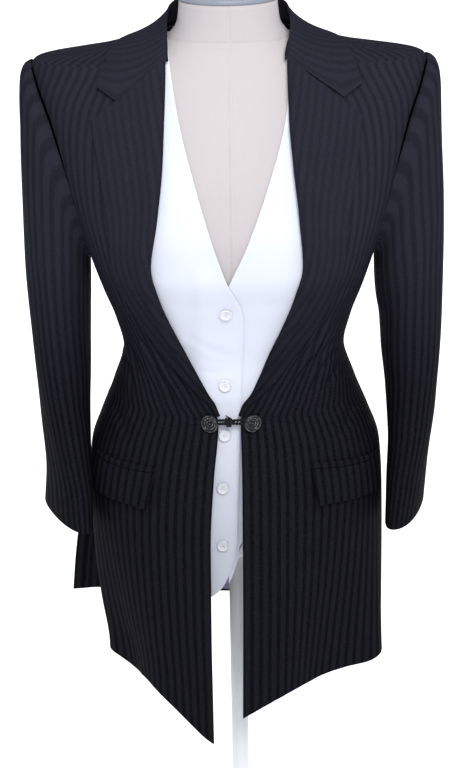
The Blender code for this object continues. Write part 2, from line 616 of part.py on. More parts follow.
def waistcoat_back_points(columns=15):
    """The waistcoat's back, in one piece from side seam to side seam."""
    hole = WAISTCOAT_ARMHOLE
    levels = np.concatenate([[WAISTCOAT_BACK_HEM, FORM_WIDEST], BODY_LEVELS])
    share = np.linspace(-1, 1, columns)
    height = np.repeat(levels[:, None], columns, axis=1)
    armhole = pi / 2 + armhole_cut(height, hole["bottom"], hole["top"], hole["reach"])
    seam = np.full_like(height, pi / 2 + SEAM / WAISTCOAT_RADIUS)
    start = np.where((height > hole["bottom"]) & (height < hole["top"]), armhole, seam)
    points = section("form", height, pi - (pi - start) * np.abs(share))
    points[..., 0] *= np.sign(share)
    return points + outward(points) * (WAISTCOAT_EASE + WAISTCOAT_WALL)


def lining_points():
    """The lining inside the back skirt, from vent to vent, made from the two backs' own points."""
    row, column = np.meshgrid(np.array(LINING_ROWS, float), LINING_COLUMNS, indexing="ij")
    halves = []
    for side in (RIGHT, LEFT):
        back = coat_back_points(side)
        half = grid_mix(back - outward(back) * (COAT_WALL + LINING_GAP), row, column)
        half[:, 0, 0] = 0
        halves.append(half)
    return np.concatenate([halves[0][:, ::-1], halves[1][:, 1:]], axis=1)


def turned(name, profile, slot, group, steps=16):
    """A turned piece from a profile of (radius, height), running down its outer side."""
    data = bpy.data.meshes.new(name)
    points = [(radius, 0, height) for radius, height in profile]
    data.from_pydata(points, [(k, k + 1) for k in range(len(points) - 1)], [])
    made = add_object(name, data, slot, group)
    screw = made.modifiers.new("turn", "SCREW")
    screw.steps = steps
    screw.render_steps = steps
    screw.use_merge_vertices = True
    screw.merge_threshold = 0.00001
    screw.use_smooth_shade = True
    return made


def button(name, size, place, facing, slot, group, steps=14):
    """A dished button with a rim, standing off the cloth on its shank."""
    radius = size["radius"]
    thick = size["thick"]
    shank = size["shank"]
    profile = [
        (0, shank + thick * 0.6), (radius * 0.66, shank + thick * 0.6), (radius * 0.80, shank + thick),
        (radius, shank + thick * 0.55), (radius * 0.80, shank), (radius * SHANK_SHARE, shank),
        (radius * SHANK_SHARE, 0), (0, 0),
    ]
    made = turned(name, profile, slot, group, steps)
    made.location = place
    direction = np.array(facing) / np.linalg.norm(facing)
    made.rotation_mode = "QUATERNION"
    made.rotation_quaternion = Vector(direction).to_track_quat("Z", "Y")
    return made


def grid_place(points, row, column, lift):
    """Place and direction on a grid at a row and column that need not be whole."""
    at = np.array(row), np.array(column)
    direction = grid_mix(outward(points), *at)
    direction /= np.linalg.norm(direction)
    return grid_mix(points, *at) + direction * lift, direction


def grid_lookup(points, x, z):
    """Row and column at which a grid that faces the front passes through a place in front view."""
    distance = np.abs(points[..., 0] - x) + np.abs(points[..., 2] - z) + np.maximum(points[..., 1], 0)
    place = np.array(np.unravel_index(np.argmin(distance), distance.shape), float)
    limit = np.array(distance.shape) - 1.001
    small = 0.01
    for _ in range(12):
        place = np.clip(place, 0, limit - small)
        here = grid_mix(points, *place)
        down = (grid_mix(points, *(place + (small, 0))) - here) / small
        over = (grid_mix(points, *(place + (0, small))) - here) / small
        system = np.array([[down[0], over[0]], [down[2], over[2]]])
        place = place + np.clip(np.linalg.solve(system, (x - here[0], z - here[2])), -1, 1)
    return tuple(place)


def tube(name, points, radius, slot, group):
    """A closed loop of round wire through its points."""
    data = bpy.data.curves.new(name, "CURVE")
    data.dimensions = "3D"
    data.bevel_depth = radius
    data.bevel_resolution = 1
    spline = data.splines.new("POLY")
    spline.points.add(len(points) - 1)
    for target, point in zip(spline.points, points):
        target.co = (*point, 1)
    spline.use_cyclic_u = True
    return add_object(name, data, slot, group)


def build_form(group):
    """The covered torso and neck, its cap, and the stand under it."""
    levels = np.concatenate([
        [FORM_BOTTOM, FORM_BOTTOM + 0.003, FORM_BOTTOM + 0.010, FORM_WIDEST], BODY_LEVELS,
        [1.404, 1.412, 1.424, FORM_TOP],
    ])
    angles = np.linspace(0, 2 * pi, 28, endpoint=False)
    height, angle = np.meshgrid(levels, angles, indexing="ij")
    points = section("form", height, angle)
    shrink = np.ones(len(levels))
    shrink[:2] = (0.93, 0.975)
    points[..., :2] *= shrink[:, None, None]
    data = grid_mesh("form_body", points, loop=True)
    mesh = bmesh.new()
    mesh.from_mesh(data)
    mesh.verts.ensure_lookup_table()
    count = len(angles)
    mesh.faces.new([mesh.verts[k] for k in range(count)])
    mesh.faces.new([mesh.verts[k] for k in range(len(mesh.verts) - 1, len(mesh.verts) - count - 1, -1)])
    bmesh.ops.recalc_face_normals(mesh, faces=mesh.faces)
    mesh.to_mesh(data)
    mesh.free()
    add_object("form_body", data, "form_cloth", group)

    rim = section("form", FORM_TOP, angles[::2])
    cap_points = []
    for scale, rise in ((1.0, GAP), (1.02, 0.0015), (1.02, CAP_THICKNESS - 0.0015), (0.97, CAP_THICKNESS)):
        ring = rim * (scale, scale, 1) + (0, 0, rise)
        cap_points.append(ring)
    cap = grid_mesh("form_neck_cap", np.array(cap_points), loop=True)
    mesh = bmesh.new()
    mesh.from_mesh(cap)
    mesh.verts.ensure_lookup_table()
    count = len(rim)
    mesh.faces.new([mesh.verts[k] for k in range(count)])
    mesh.faces.new([mesh.verts[k] for k in range(len(mesh.verts) - 1, len(mesh.verts) - count - 1, -1)])
    bmesh.ops.recalc_face_normals(mesh, faces=mesh.faces)
    mesh.to_mesh(cap)
    mesh.free()
    add_object("form_neck_cap", cap, "form_cap", group)

    socket_bottom = FORM_BOTTOM - SOCKET_LENGTH
    turned("stand_socket", [
        (0, FORM_BOTTOM - GAP), (0.045, FORM_BOTTOM - GAP), (0.045, FORM_BOTTOM - 0.006),
        (SOCKET_RADIUS, FORM_BOTTOM - 0.010), (SOCKET_RADIUS, socket_bottom), (0, socket_bottom),
    ], "stand_paint", group, 20)
    turned("stand_pole", [
        (0, socket_bottom - GAP), (POLE_RADIUS, socket_bottom - GAP), (POLE_RADIUS, BASE_THICKNESS + GAP),
        (0, BASE_THICKNESS + GAP),
    ], "stand_paint", group, 20)
    turned("stand_base", [
        (0, BASE_THICKNESS), (BASE_RADIUS - BASE_EDGE, BASE_THICKNESS),
        (BASE_RADIUS, BASE_THICKNESS - BASE_EDGE), (BASE_RADIUS, 0), (0, 0),
    ], "stand_paint", group, 40)


def build_waistcoat(group):
    """Two fronts, a back and five buttons."""
    over = waistcoat_front_points(RIGHT, "over")
    under = waistcoat_front_points(LEFT, "under")
    panel("waistcoat_front_right", over, WAISTCOAT_WALL, "waistcoat_cloth", group)
    panel("waistcoat_front_left", under, WAISTCOAT_WALL, "waistcoat_cloth", group)
    panel("waistcoat_back", waistcoat_back_points(), WAISTCOAT_WALL, "waistcoat_cloth", group)
    for number, height in enumerate(WAISTCOAT_BUTTON_HEIGHTS, 1):
        x = along(WAISTCOAT_EDGE, "over", height) - WAISTCOAT_BUTTON_INSET
        place, facing = grid_place(over, *grid_lookup(over, x, height), 2 * GAP)
        button(f"waistcoat_button_{number}", WAISTCOAT_BUTTON, place, facing, "white_button", group, 10)


def build_coat_body(group):
    """Fronts, backs, lining, lapels and collar."""
    fronts = {}
    for side, word in SIDE_NAMES.items():
        fronts[side] = coat_front_points(side)
        panel(f"coat_front_{word}", fronts[side], COAT_WALL, "coat_cloth", group)
        panel(f"coat_back_{word}", coat_back_points(side), COAT_WALL, "coat_cloth", group)
        panel(f"coat_lapel_{word}", lapel_points(side), LAPEL_WALL, "coat_cloth", group)
    panel("coat_back_lining", lining_points(), LINING_WALL, "lining_satin", group)
    panel("coat_collar", collar_points(), LAPEL_WALL, "coat_cloth", group)
    return fronts


def build_pockets(fronts, group):
    """A jet and a flap on each front, made from the front's own points."""
    for side, word in SIDE_NAMES.items():
        points = fronts[side]
        ends = POCKET_END[side]
        front = grid_lookup(points, side * ends["front"], ends["front_level"])
        rear = grid_lookup(points, side * ends["rear"], ends["rear_level"])
        low = grid_lookup(points, side * (ends["front"] + 0.002), ends["front_level"] - FLAP_HEIGHT)
        drop = front[0] - low[0]
        jet_drop = drop * JET_HEIGHT / FLAP_HEIGHT
        columns = (front[1], rear[1])
        seam = drop * 2 * GAP / FLAP_HEIGHT
        jet = sub_grid(points, ((front[0], rear[0]), (front[0] - jet_drop, rear[0] - jet_drop)), columns,
                       FLAP_LIFT + JET_WALL)
        top = (front[0] - jet_drop - seam, rear[0] - jet_drop - seam)
        flap = sub_grid(points, (top, (front[0] - drop, rear[0] - drop)), columns, FLAP_LIFT + COAT_WALL,
                        FLAP_TAPER)
        panel(f"pocket_jet_{word}", jet, JET_WALL, "coat_cloth", group)
        panel(f"pocket_flap_{word}", flap, COAT_WALL, "coat_cloth", group)


def build_sleeves(group):
    """A top sleeve and an under sleeve on each side, with three buttons at each cuff."""
    seam = SLEEVE_SEAM / SLEEVE_RADIUS
    for side, word in SIDE_NAMES.items():
        top = sleeve_points(side, SLEEVE_FRONT_SEAM + seam, SLEEVE_BACK_SEAM - seam, 13, 12)
        under = sleeve_points(side, SLEEVE_BACK_SEAM + seam, SLEEVE_FRONT_SEAM + 2 * pi - seam, 13, 6)
        panel(f"sleeve_top_{word}", top, COAT_WALL, "coat_cloth", group)
        panel(f"sleeve_under_{word}", under, COAT_WALL, "coat_cloth", group)
        column = CUFF_BUTTON_COLUMN
        for number, height in enumerate(CUFF_BUTTON_HEIGHTS, 1):
            heights = top[:, -2, 2]
            row = float(np.interp(-height, -heights, np.arange(len(heights))))
            place, facing = grid_place(top, row, column, 2 * GAP)
            button(f"cuff_button_{word}_{number}", CUFF_BUTTON, place, facing, "black_button", group, 10)


def build_link(fronts, group):
    """Two buttons and the two loops that hook together between them."""
    shanks = {}
    for side, word in SIDE_NAMES.items():
        points = fronts[side]
        spot = grid_lookup(points, LINK_BUTTON_PLACE[side], LINK_HEIGHT)
        place, facing = grid_place(points, *spot, 2 * GAP)
        button(f"link_button_{word}", LINK_BUTTON, place, facing, "black_button", group, 18)
        shanks[side] = place + facing * LINK_BUTTON["shank"] / 2
    half = LINK_LOOP["half_height"]
    meet = (shanks[RIGHT] + shanks[LEFT]) / 2
    for side, word in SIDE_NAMES.items():
        start = shanks[side] + (side * half, 0, 0)
        end = np.array([LINK_LOOP["meet"] - side * LINK_LOOP["overlap"], meet[1], meet[2]])
        length = np.linalg.norm(end - start)
        run = (end - start) / length
        upright = np.array([0.0, 0.0, 1.0])
        level = np.cross(run, upright)
        loop = []
        for centre, first in ((half, pi / 2), (length - half, -pi / 2)):
            for k in range(7):
                angle = first + pi * k / 6
                reach = centre + half * cos(angle)
                # the left loop turns a quarter on its way, so that the two can hook together
                turn = pi / 2 * reach / length if side == LEFT else 0.0
                across = upright * cos(turn) + level * sin(turn)
                loop.append(start + run * reach + across * half * sin(angle))
        tube(f"link_loop_{word}", loop, LINK_LOOP["wire"], "link_cord", group)


def main():
    for item in list(bpy.data.objects):
        bpy.data.objects.remove(item, do_unlink=True)
    group = collection(COLLECTION)
    build_form(group)
    build_waistcoat(group)
    fronts = build_coat_body(group)
    build_pockets(fronts, group)
    build_sleeves(group)
    build_link(fronts, group)


main()
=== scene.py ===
from math import cos, pi, radians, sin
import bpy
import numpy as np
from mathutils import Matrix, Vector


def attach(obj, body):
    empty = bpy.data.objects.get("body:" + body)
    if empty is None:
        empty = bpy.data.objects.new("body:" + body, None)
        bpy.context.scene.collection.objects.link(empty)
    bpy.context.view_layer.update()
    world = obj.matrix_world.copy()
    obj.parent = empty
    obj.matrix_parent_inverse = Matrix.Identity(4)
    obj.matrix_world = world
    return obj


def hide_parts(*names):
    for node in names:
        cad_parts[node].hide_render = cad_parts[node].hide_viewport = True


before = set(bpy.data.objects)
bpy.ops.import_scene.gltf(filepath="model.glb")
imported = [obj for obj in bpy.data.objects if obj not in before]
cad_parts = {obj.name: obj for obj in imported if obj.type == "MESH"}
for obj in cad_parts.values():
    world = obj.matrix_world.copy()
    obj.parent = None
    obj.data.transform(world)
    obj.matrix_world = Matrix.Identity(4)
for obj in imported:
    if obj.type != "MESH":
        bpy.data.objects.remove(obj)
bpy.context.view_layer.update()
right, left = -1, 1  # the wearer's right is at -X
sideWord = {right: "Right", left: "Left"}
nodeWord = {right: "right", left: "left"}
print("frame loaded")

# camera and light

view = {"place": (-0.0049, -2.2, 1.8593), "pitch": radians(22), "roll": radians(-1.0), "focal": 1919.74,
        "imageHeight": 768, "sensorHeight": 36.0}
light = {"sky": (0.84, 0.89, 1.0), "skyStrength": 0.62, "blend": 1.0, "softness": 0.6}
# each lamp's name, place, what it points at, power, cone in degrees and colour
lamps = [
    ("keyLamp", (0.32, -2.00, 2.72), (0.0, 0.0, 1.38), 250.0, 48.0, (0.97, 0.98, 1.0)),
    ("frontLamp", (-0.35, -2.80, 1.50), (0.0, 0.0, 1.27), 60.0, 27.0, (0.93, 0.94, 1.0)),
    ("poleLamp", (0.0, -1.70, 0.30), (0.0, 0.0, 0.30), 40.0, 19.0, (1.0, 1.0, 1.0)),
    ("floorLamp", (0.0, 5.0, 7.0), (0.0, 5.4, 0.0), 700.0, 118.0, (1.0, 1.0, 1.0)),
]


def buildCamera():
    ahead = Vector((0, cos(view["pitch"]), -sin(view["pitch"])))
    level = Vector((1, 0, 0))
    above = level.cross(ahead)
    across = cos(view["roll"]) * level + sin(view["roll"]) * above
    up = -sin(view["roll"]) * level + cos(view["roll"]) * above
    turn = Matrix((across, up, -ahead)).transposed().to_4x4()
    lens = bpy.data.cameras.new("photoCamera")
    lens.sensor_fit = "VERTICAL"
    lens.sensor_height = view["sensorHeight"]
    lens.lens = view["focal"] * view["sensorHeight"] / view["imageHeight"]
    lens.clip_end = 100
    camera = bpy.data.objects.new("photoCamera", lens)
    camera.matrix_world = Matrix.Translation(view["place"]) @ turn
    bpy.context.scene.collection.objects.link(camera)
    bpy.context.scene.camera = camera
    bpy.context.scene.view_settings.view_transform = "Standard"


def buildLight():
    world = bpy.data.worlds.new("softSky")
    world.use_nodes = True
    world.node_tree.nodes["Background"].inputs["Color"].default_value = (*light["sky"], 1)
    world.node_tree.nodes["Background"].inputs["Strength"].default_value = light["skyStrength"]
    bpy.context.scene.world = world
    for name, place, target, power, cone, colour in lamps:
        data = bpy.data.lights.new(name, "SPOT")
        data.energy = power
        data.color = colour
        data.spot_size = radians(cone)
        data.spot_blend = light["blend"]
        data.shadow_soft_size = light["softness"]
        lamp = bpy.data.objects.new(name, data)
        lamp.location = place
        lamp.rotation_mode = "QUATERNION"
        lamp.rotation_quaternion = (Vector(target) - Vector(place)).to_track_quat("-Z", "Y")
        bpy.context.scene.collection.objects.link(lamp)


buildCamera()
buildLight()
print("camera and light ready")

# materials

suit = {
    "stripePitch": 0.0109, "stripeShare": 0.56, "stripeSoft": 0.10,
    "dark": (0.0030, 0.0030, 0.0040), "bright": (0.0098, 0.0094, 0.0128),
    # the upper tones are painted light: the cloth is painted lighter high up, where the lamps fall
    "paintedLightDark": (0.0138, 0.0132, 0.0196), "paintedLightBright": (0.0210, 0.0200, 0.0296),
    "paintedLightFrom": 0.95, "paintedLightTo": 1.20, "lapelContrast": 0.55, "faded": 0.5,
    "rough": 0.80, "stripeShine": 0.08, "gloss": 0.012,
    "dust": (0.016, 0.016, 0.022), "dustShare": 0.10, "dustCloud": (9.0, 3.0),
    "fleck": (0.05, 0.05, 0.065), "fleckShare": 0.16, "fleckCloud": (650.0, 2.0), "fleckRange": (0.45, 0.75),
    "threads": 2600.0, "slant": 1.7, "fibre": 0.5, "relief": (0.35, 0.00012),
}
# plain cloths: tints and clouds of colour, then the weave and its relief
plainCloths = {
    "waistcoat_cloth": {
        "name": "waistcoatCloth", "rough": 0.62,
        "sockets": {"Specular_IOR_Level": 0.42, "Sheen_Weight": 0.15, "Sheen_Roughness": 0.35},
        "tints": ((0.68, 0.705, 0.785), (0.75, 0.765, 0.825)), "cloud": (14.0, 3.0),
        "threads": 6000.0, "slant": 0.0, "fibre": 0.8, "relief": (0.30, 0.0001)},
    "lining_satin": {
        "name": "liningSatin", "rough": 0.34, "shine": (0.14, 0.28),
        "sockets": {"Specular_IOR_Level": 0.55, "Sheen_Weight": 0.25, "Sheen_Roughness": 0.3,
                    "Anisotropic": 0.4},
        "tints": ((0.125, 0.130, 0.215), (0.185, 0.190, 0.300)), "cloud": (11.0, 2.0),
        "threads": 4200.0, "slant": 0.6, "fibre": 0.6, "relief": (0.20, 0.00008)},
    "form_cloth": {
        "name": "formCloth", "rough": 0.85, "fleck": (0.60, 0.52, 0.49), "fleckShare": 0.18,
        "sockets": {"Specular_IOR_Level": 0.25, "Sheen_Weight": 0.2, "Sheen_Roughness": 0.5},
        "tints": ((0.50, 0.456, 0.450), (0.56, 0.512, 0.502)), "cloud": (7.0, 4.0),
        "threads": 5200.0, "slant": 0.0, "fibre": 1.2, "relief": (0.4, 0.0002)},
}
hardFinishes = {
    "white_button": {
        "name": "paleShell", "tints": ((0.68, 0.68, 0.73), (0.80, 0.79, 0.80)), "rough": 0.36, "grain": 260.0,
        "depth": 0.00003, "sockets": {"Specular_IOR_Level": 0.4, "Coat_Weight": 0.1, "Coat_Roughness": 0.2}},
    "form_cap": {
        "name": "capPaint", "tints": ((0.20, 0.215, 0.25), (0.28, 0.295, 0.33)), "rough": 0.45, "grain": 90.0,
        "depth": 0.0001, "sockets": {}},
    "stand_paint": {
        "name": "standPaint", "tints": ((0.93, 0.93, 0.93), (0.97, 0.97, 0.97)), "rough": 0.38, "grain": 60.0,
        "depth": 0.00008, "sockets": {"Coat_Weight": 0.25, "Coat_Roughness": 0.25}},
}
horn = {"rough": 0.30, "sockets": {"Specular_IOR_Level": 0.22, "Coat_Weight": 0.12, "Coat_Roughness": 0.15},
        "dark": (0.006, 0.006, 0.007), "pale": (0.17, 0.165, 0.165), "rings": 2100.0, "streak": 420.0,
        "broken": (0.42, 0.62), "relief": (0.3, 0.0001)}
cord = {"rough": 0.6, "sockets": {"Specular_IOR_Level": 0.10}, "cloud": (900.0, 2.0),
        "tints": ((0.006, 0.006, 0.008), (0.025, 0.025, 0.03)), "relief": (0.5, 0.0002)}


def newMaterial(name, roughness, **sockets):
    made = bpy.data.materials.new(name)
    made.use_nodes = True
    tree = made.node_tree
    shader = tree.nodes["Principled BSDF"]
    shader.inputs["Roughness"].default_value = roughness
    for socket, value in sockets.items():
        shader.inputs[socket.replace("_", " ")].default_value = value
    return made, tree, shader


def node(tree, kind, inputs=None, **settings):
    made = tree.nodes.new(kind)
    for key, value in settings.items():
        setattr(made, key, value)
    for key, value in (inputs or {}).items():
        if isinstance(value, bpy.types.NodeSocket):
            tree.links.new(value, made.inputs[key])
        else:
            made.inputs[key].default_value = value
    return made


def mathNode(tree, operation, first, second=0.0, third=0.0):
    made = node(tree, "ShaderNodeMath", {0: first, 1: second, 2: third}, operation=operation)
    return made.outputs[0]


def rangeNode(tree, value, low, high, first=0.0, last=1.0, **settings):
    made = node(tree, "ShaderNodeMapRange", {"Value": value, "From Min": low, "From Max": high,
                                             "To Min": first, "To Max": last}, **settings)
    return made.outputs[0]


def newGroup(name, inputs, outputs):
    group = bpy.data.node_groups.new(name, "ShaderNodeTree")
    for label, kind, value in inputs:
        socket = group.interface.new_socket(label, in_out="INPUT", socket_type=kind)
        if value is not None:
            socket.default_value = value
    for label, kind in outputs:
        group.interface.new_socket(label, in_out="OUTPUT", socket_type=kind)
    return group, group.nodes.new("NodeGroupInput"), group.nodes.new("NodeGroupOutput")


def weaveGroup():
    # height of a weave: the sum of two crossed sine waves on the flat coordinates, and noise for loose fibre
    inputs = [("Flat", "NodeSocketVector", None), ("Threads", "NodeSocketFloat", 900.0),
              ("Slant", "NodeSocketFloat", 0.0), ("Fibre", "NodeSocketFloat", 0.35)]
    outputs = [("Height", "NodeSocketFloat"), ("Fleck", "NodeSocketFloat")]
    group, given, result = newGroup("weave", inputs, outputs)
    parts = node(group, "ShaderNodeSeparateXYZ", {0: given.outputs["Flat"]})
    slanted = mathNode(group, "MULTIPLY_ADD", parts.outputs["Y"], given.outputs["Slant"], parts.outputs["X"])
    warp = mathNode(group, "SINE", mathNode(group, "MULTIPLY", slanted, given.outputs["Threads"]))
    weft = mathNode(group, "SINE", mathNode(group, "MULTIPLY", parts.outputs["Y"], given.outputs["Threads"]))
    spun = node(group, "ShaderNodeMapping", {"Vector": given.outputs["Flat"], "Scale": (1600.0, 420.0, 1.0)})
    fibre = node(group, "ShaderNodeTexNoise", {"Vector": spun.outputs[0], "Scale": 1.0, "Detail": 3.0})
    crossed = mathNode(group, "ADD", warp, weft)
    height = mathNode(group, "MULTIPLY_ADD", fibre.outputs["Fac"], given.outputs["Fibre"], crossed)
    group.links.new(height, result.inputs["Height"])
    group.links.new(fibre.outputs["Fac"], result.inputs["Fleck"])
    return group


def stripeGroup():
    # a soft edged light band in every pitch of the first flat coordinate
    inputs = [("Flat", "NodeSocketVector", None), ("Pitch", "NodeSocketFloat", 0.01),
              ("Share", "NodeSocketFloat", 0.5), ("Soft", "NodeSocketFloat", 0.1)]
    group, given, result = newGroup("stripes", inputs, [("Band", "NodeSocketFloat")])
    parts = node(group, "ShaderNodeSeparateXYZ", {0: given.outputs["Flat"]})
    place = mathNode(group, "DIVIDE", parts.outputs["X"], given.outputs["Pitch"])
    within = mathNode(group, "FRACT", place)
    fromMiddle = mathNode(group, "ABSOLUTE", mathNode(group, "SUBTRACT", within, 0.5))
    half = mathNode(group, "MULTIPLY", given.outputs["Share"], 0.5)
    low = mathNode(group, "SUBTRACT", half, given.outputs["Soft"])
    high = mathNode(group, "ADD", half, given.outputs["Soft"])
    band = rangeNode(group, fromMiddle, low, high, 1.0, 0.0, interpolation_type="SMOOTHSTEP")
    group.links.new(band, result.inputs["Band"])
    return group


weave = weaveGroup()
stripes = stripeGroup()


def useGroup(tree, group, **inputs):
    made = tree.nodes.new("ShaderNodeGroup")
    made.node_tree = group
    for key, value in inputs.items():
        if isinstance(value, bpy.types.NodeSocket):
            tree.links.new(value, made.inputs[key])
        else:
            made.inputs[key].default_value = value
    return made


def cloudNoise(tree, scale, detail):
    place = node(tree, "ShaderNodeTexCoord").outputs["Object"]
    noise = node(tree, "ShaderNodeTexNoise", {"Vector": place, "Scale": scale, "Detail": detail})
    return noise.outputs["Fac"]


def mixColour(tree, factor, first, second):
    made = node(tree, "ShaderNodeMix", data_type="RGBA")
    for index, value in ((0, factor), (6, first), (7, second)):
        if isinstance(value, bpy.types.NodeSocket):
            tree.links.new(value, made.inputs[index])
        else:
            made.inputs[index].default_value = value if index == 0 else (*value, 1)
    return made.outputs[2]


def bump(tree, shader, height, strength, distance):
    made = node(tree, "ShaderNodeBump", {"Height": height, "Strength": strength, "Distance": distance})
    tree.links.new(made.outputs[0], shader.inputs["Normal"])


def suitCloth(name, contrast):
    # tonal stripes with dust and flecks, and painted light that makes the cloth lighter high up; contrast is
    # how far the stripes stand out
    made, tree, shader = newMaterial(name, suit["rough"], Specular_IOR_Level=suit["gloss"])
    flat = node(tree, "ShaderNodeUVMap", uv_map="flat").outputs[0]
    band = useGroup(tree, stripes, Flat=flat, Pitch=suit["stripePitch"], Share=suit["stripeShare"],
                    Soft=suit["stripeSoft"]).outputs["Band"]
    band = mathNode(tree, "MULTIPLY_ADD", band, contrast, suit["faded"] * (1 - contrast))
    # painted light: the cloth is painted lighter high up, where the lamps fall, and stays dark low down,
    # where the stripes stand out most
    place = node(tree, "ShaderNodeSeparateXYZ", {0: node(tree, "ShaderNodeTexCoord").outputs["Object"]})
    paintedLight = rangeNode(tree, place.outputs["Z"], suit["paintedLightFrom"], suit["paintedLightTo"],
                      interpolation_type="SMOOTHSTEP")
    plain = mixColour(tree, band, mixColour(tree, paintedLight, suit["dark"], suit["paintedLightDark"]),
                      mixColour(tree, paintedLight, suit["bright"], suit["paintedLightBright"]))
    worn = cloudNoise(tree, *suit["dustCloud"])
    dusted = mixColour(tree, mathNode(tree, "MULTIPLY", worn, suit["dustShare"]), plain, suit["dust"])
    speck = rangeNode(tree, cloudNoise(tree, *suit["fleckCloud"]), *suit["fleckRange"])
    flecked = mixColour(tree, mathNode(tree, "MULTIPLY", speck, suit["fleckShare"]), dusted, suit["fleck"])
    tree.links.new(flecked, shader.inputs["Base Color"])
    matt = mathNode(tree, "MULTIPLY_ADD", band, -suit["stripeShine"], suit["rough"])
    tree.links.new(matt, shader.inputs["Roughness"])
    threads = useGroup(tree, weave, Flat=flat, Threads=suit["threads"], Slant=suit["slant"],
                       Fibre=suit["fibre"])
    bump(tree, shader, threads.outputs["Height"], *suit["relief"])
    return made


def plainCloth(given):
    made, tree, shader = newMaterial(given["name"], given["rough"], **given["sockets"])
    flat = node(tree, "ShaderNodeUVMap", uv_map="flat").outputs[0]
    threads = useGroup(tree, weave, Flat=flat, Threads=given["threads"], Slant=given["slant"],
                       Fibre=given["fibre"])
    cloudy = cloudNoise(tree, *given["cloud"])
    tint = mixColour(tree, cloudy, *given["tints"])
    if "fleck" in given:
        fleck = mathNode(tree, "MULTIPLY", threads.outputs["Fleck"], given["fleckShare"])
        tint = mixColour(tree, fleck, tint, given["fleck"])
    if "shine" in given:
        tree.links.new(mathNode(tree, "MULTIPLY_ADD", cloudy, *given["shine"]), shader.inputs["Roughness"])
    tree.links.new(tint, shader.inputs["Base Color"])
    bump(tree, shader, threads.outputs["Height"], *given["relief"])
    return made


def hardFinish(given, drift=0.16, finer=6, relief=0.2):
    # polished or painted: colour and gloss drift slightly, with a fine grain under the gloss
    made, tree, shader = newMaterial(given["name"], given["rough"], **given["sockets"])
    cloudy = cloudNoise(tree, given["grain"], 3.0)
    tree.links.new(mixColour(tree, cloudy, *given["tints"]), shader.inputs["Base Color"])
    gloss = mathNode(tree, "MULTIPLY_ADD", cloudy, drift, given["rough"] - drift / 2)
    tree.links.new(gloss, shader.inputs["Roughness"])
    bump(tree, shader, cloudNoise(tree, given["grain"] * finer, 2.0), relief, given["depth"])
    return made


def buttonHorn():
    # dark horn with pale rings painted on as highlights, broken by streaks, from the button's own flat
    # coordinates
    made, tree, shader = newMaterial("blackHorn", horn["rough"], **horn["sockets"])
    flat = node(tree, "ShaderNodeUVMap", uv_map="flat").outputs[0]
    far = node(tree, "ShaderNodeVectorMath", {0: flat}, operation="LENGTH").outputs["Value"]
    wavy = mathNode(tree, "SINE", mathNode(tree, "MULTIPLY", far, horn["rings"]))
    noise = node(tree, "ShaderNodeTexNoise", {"Vector": flat, "Scale": horn["streak"], "Detail": 2.0})
    streak = noise.outputs["Fac"]
    broken = rangeNode(tree, streak, *horn["broken"])
    # painted highlight: the pale rings stand in for glints on the button's face
    ring = mathNode(tree, "MULTIPLY", mathNode(tree, "MAXIMUM", wavy, 0.0), broken)
    tree.links.new(mixColour(tree, ring, horn["dark"], horn["pale"]), shader.inputs["Base Color"])
    bump(tree, shader, streak, *horn["relief"])
    return made


def cordThread():
    made, tree, shader = newMaterial("linkCord", cord["rough"], **cord["sockets"])
    cloudy = cloudNoise(tree, *cord["cloud"])
    tree.links.new(mixColour(tree, cloudy, *cord["tints"]), shader.inputs["Base Color"])
    bump(tree, shader, cloudy, *cord["relief"])
    return made


materials = {
    "coat_cloth": suitCloth("suitCloth", 1.0),
    "lapel_cloth": suitCloth("lapelCloth", suit["lapelContrast"]),
    "black_button": buttonHorn(),
    "link_cord": cordThread(),
    **{slot: plainCloth(given) for slot, given in plainCloths.items()},
    **{slot: hardFinish(given) for slot, given in hardFinishes.items()},
}
print("materials ready")

# shapes of the suit and the form, in the same sections as the solids


def table(columns, rows):
    return dict(zip(columns.split(), np.array(rows, float).T))


def along(rows, column, height, key="height"):
    # smooth curve through a table's column, which never overshoots its rows
    x, y = rows[key], rows[column]
    step = np.diff(x)
    rise = np.diff(y) / step
    slope = np.zeros_like(y)
    near = 2 * step[1:] + step[:-1]
    far = step[1:] + 2 * step[:-1]
    with np.errstate(divide="ignore", invalid="ignore"):
        mean = (near + far) / (near / rise[:-1] + far / rise[1:])
    slope[1:-1] = np.where(rise[1:] * rise[:-1] > 0, mean, 0.0)
    slope[0], slope[-1] = rise[0], rise[-1]
    at = np.clip(np.asarray(height, float), x[0], x[-1])
    k = np.clip(np.searchsorted(x, at) - 1, 0, len(x) - 2)
    t = (at - x[k]) / step[k]
    return ((2 * t ** 3 - 3 * t ** 2 + 1) * y[k] + (t ** 3 - 2 * t ** 2 + t) * step[k] * slope[k]
            + (3 * t ** 2 - 2 * t ** 3) * y[k + 1] + (t ** 3 - t ** 2) * step[k] * slope[k + 1])


def smooth(low, high, value):
    t = np.clip((np.asarray(value, float) - low) / (high - low), 0, 1)
    return t * t * (3 - 2 * t)


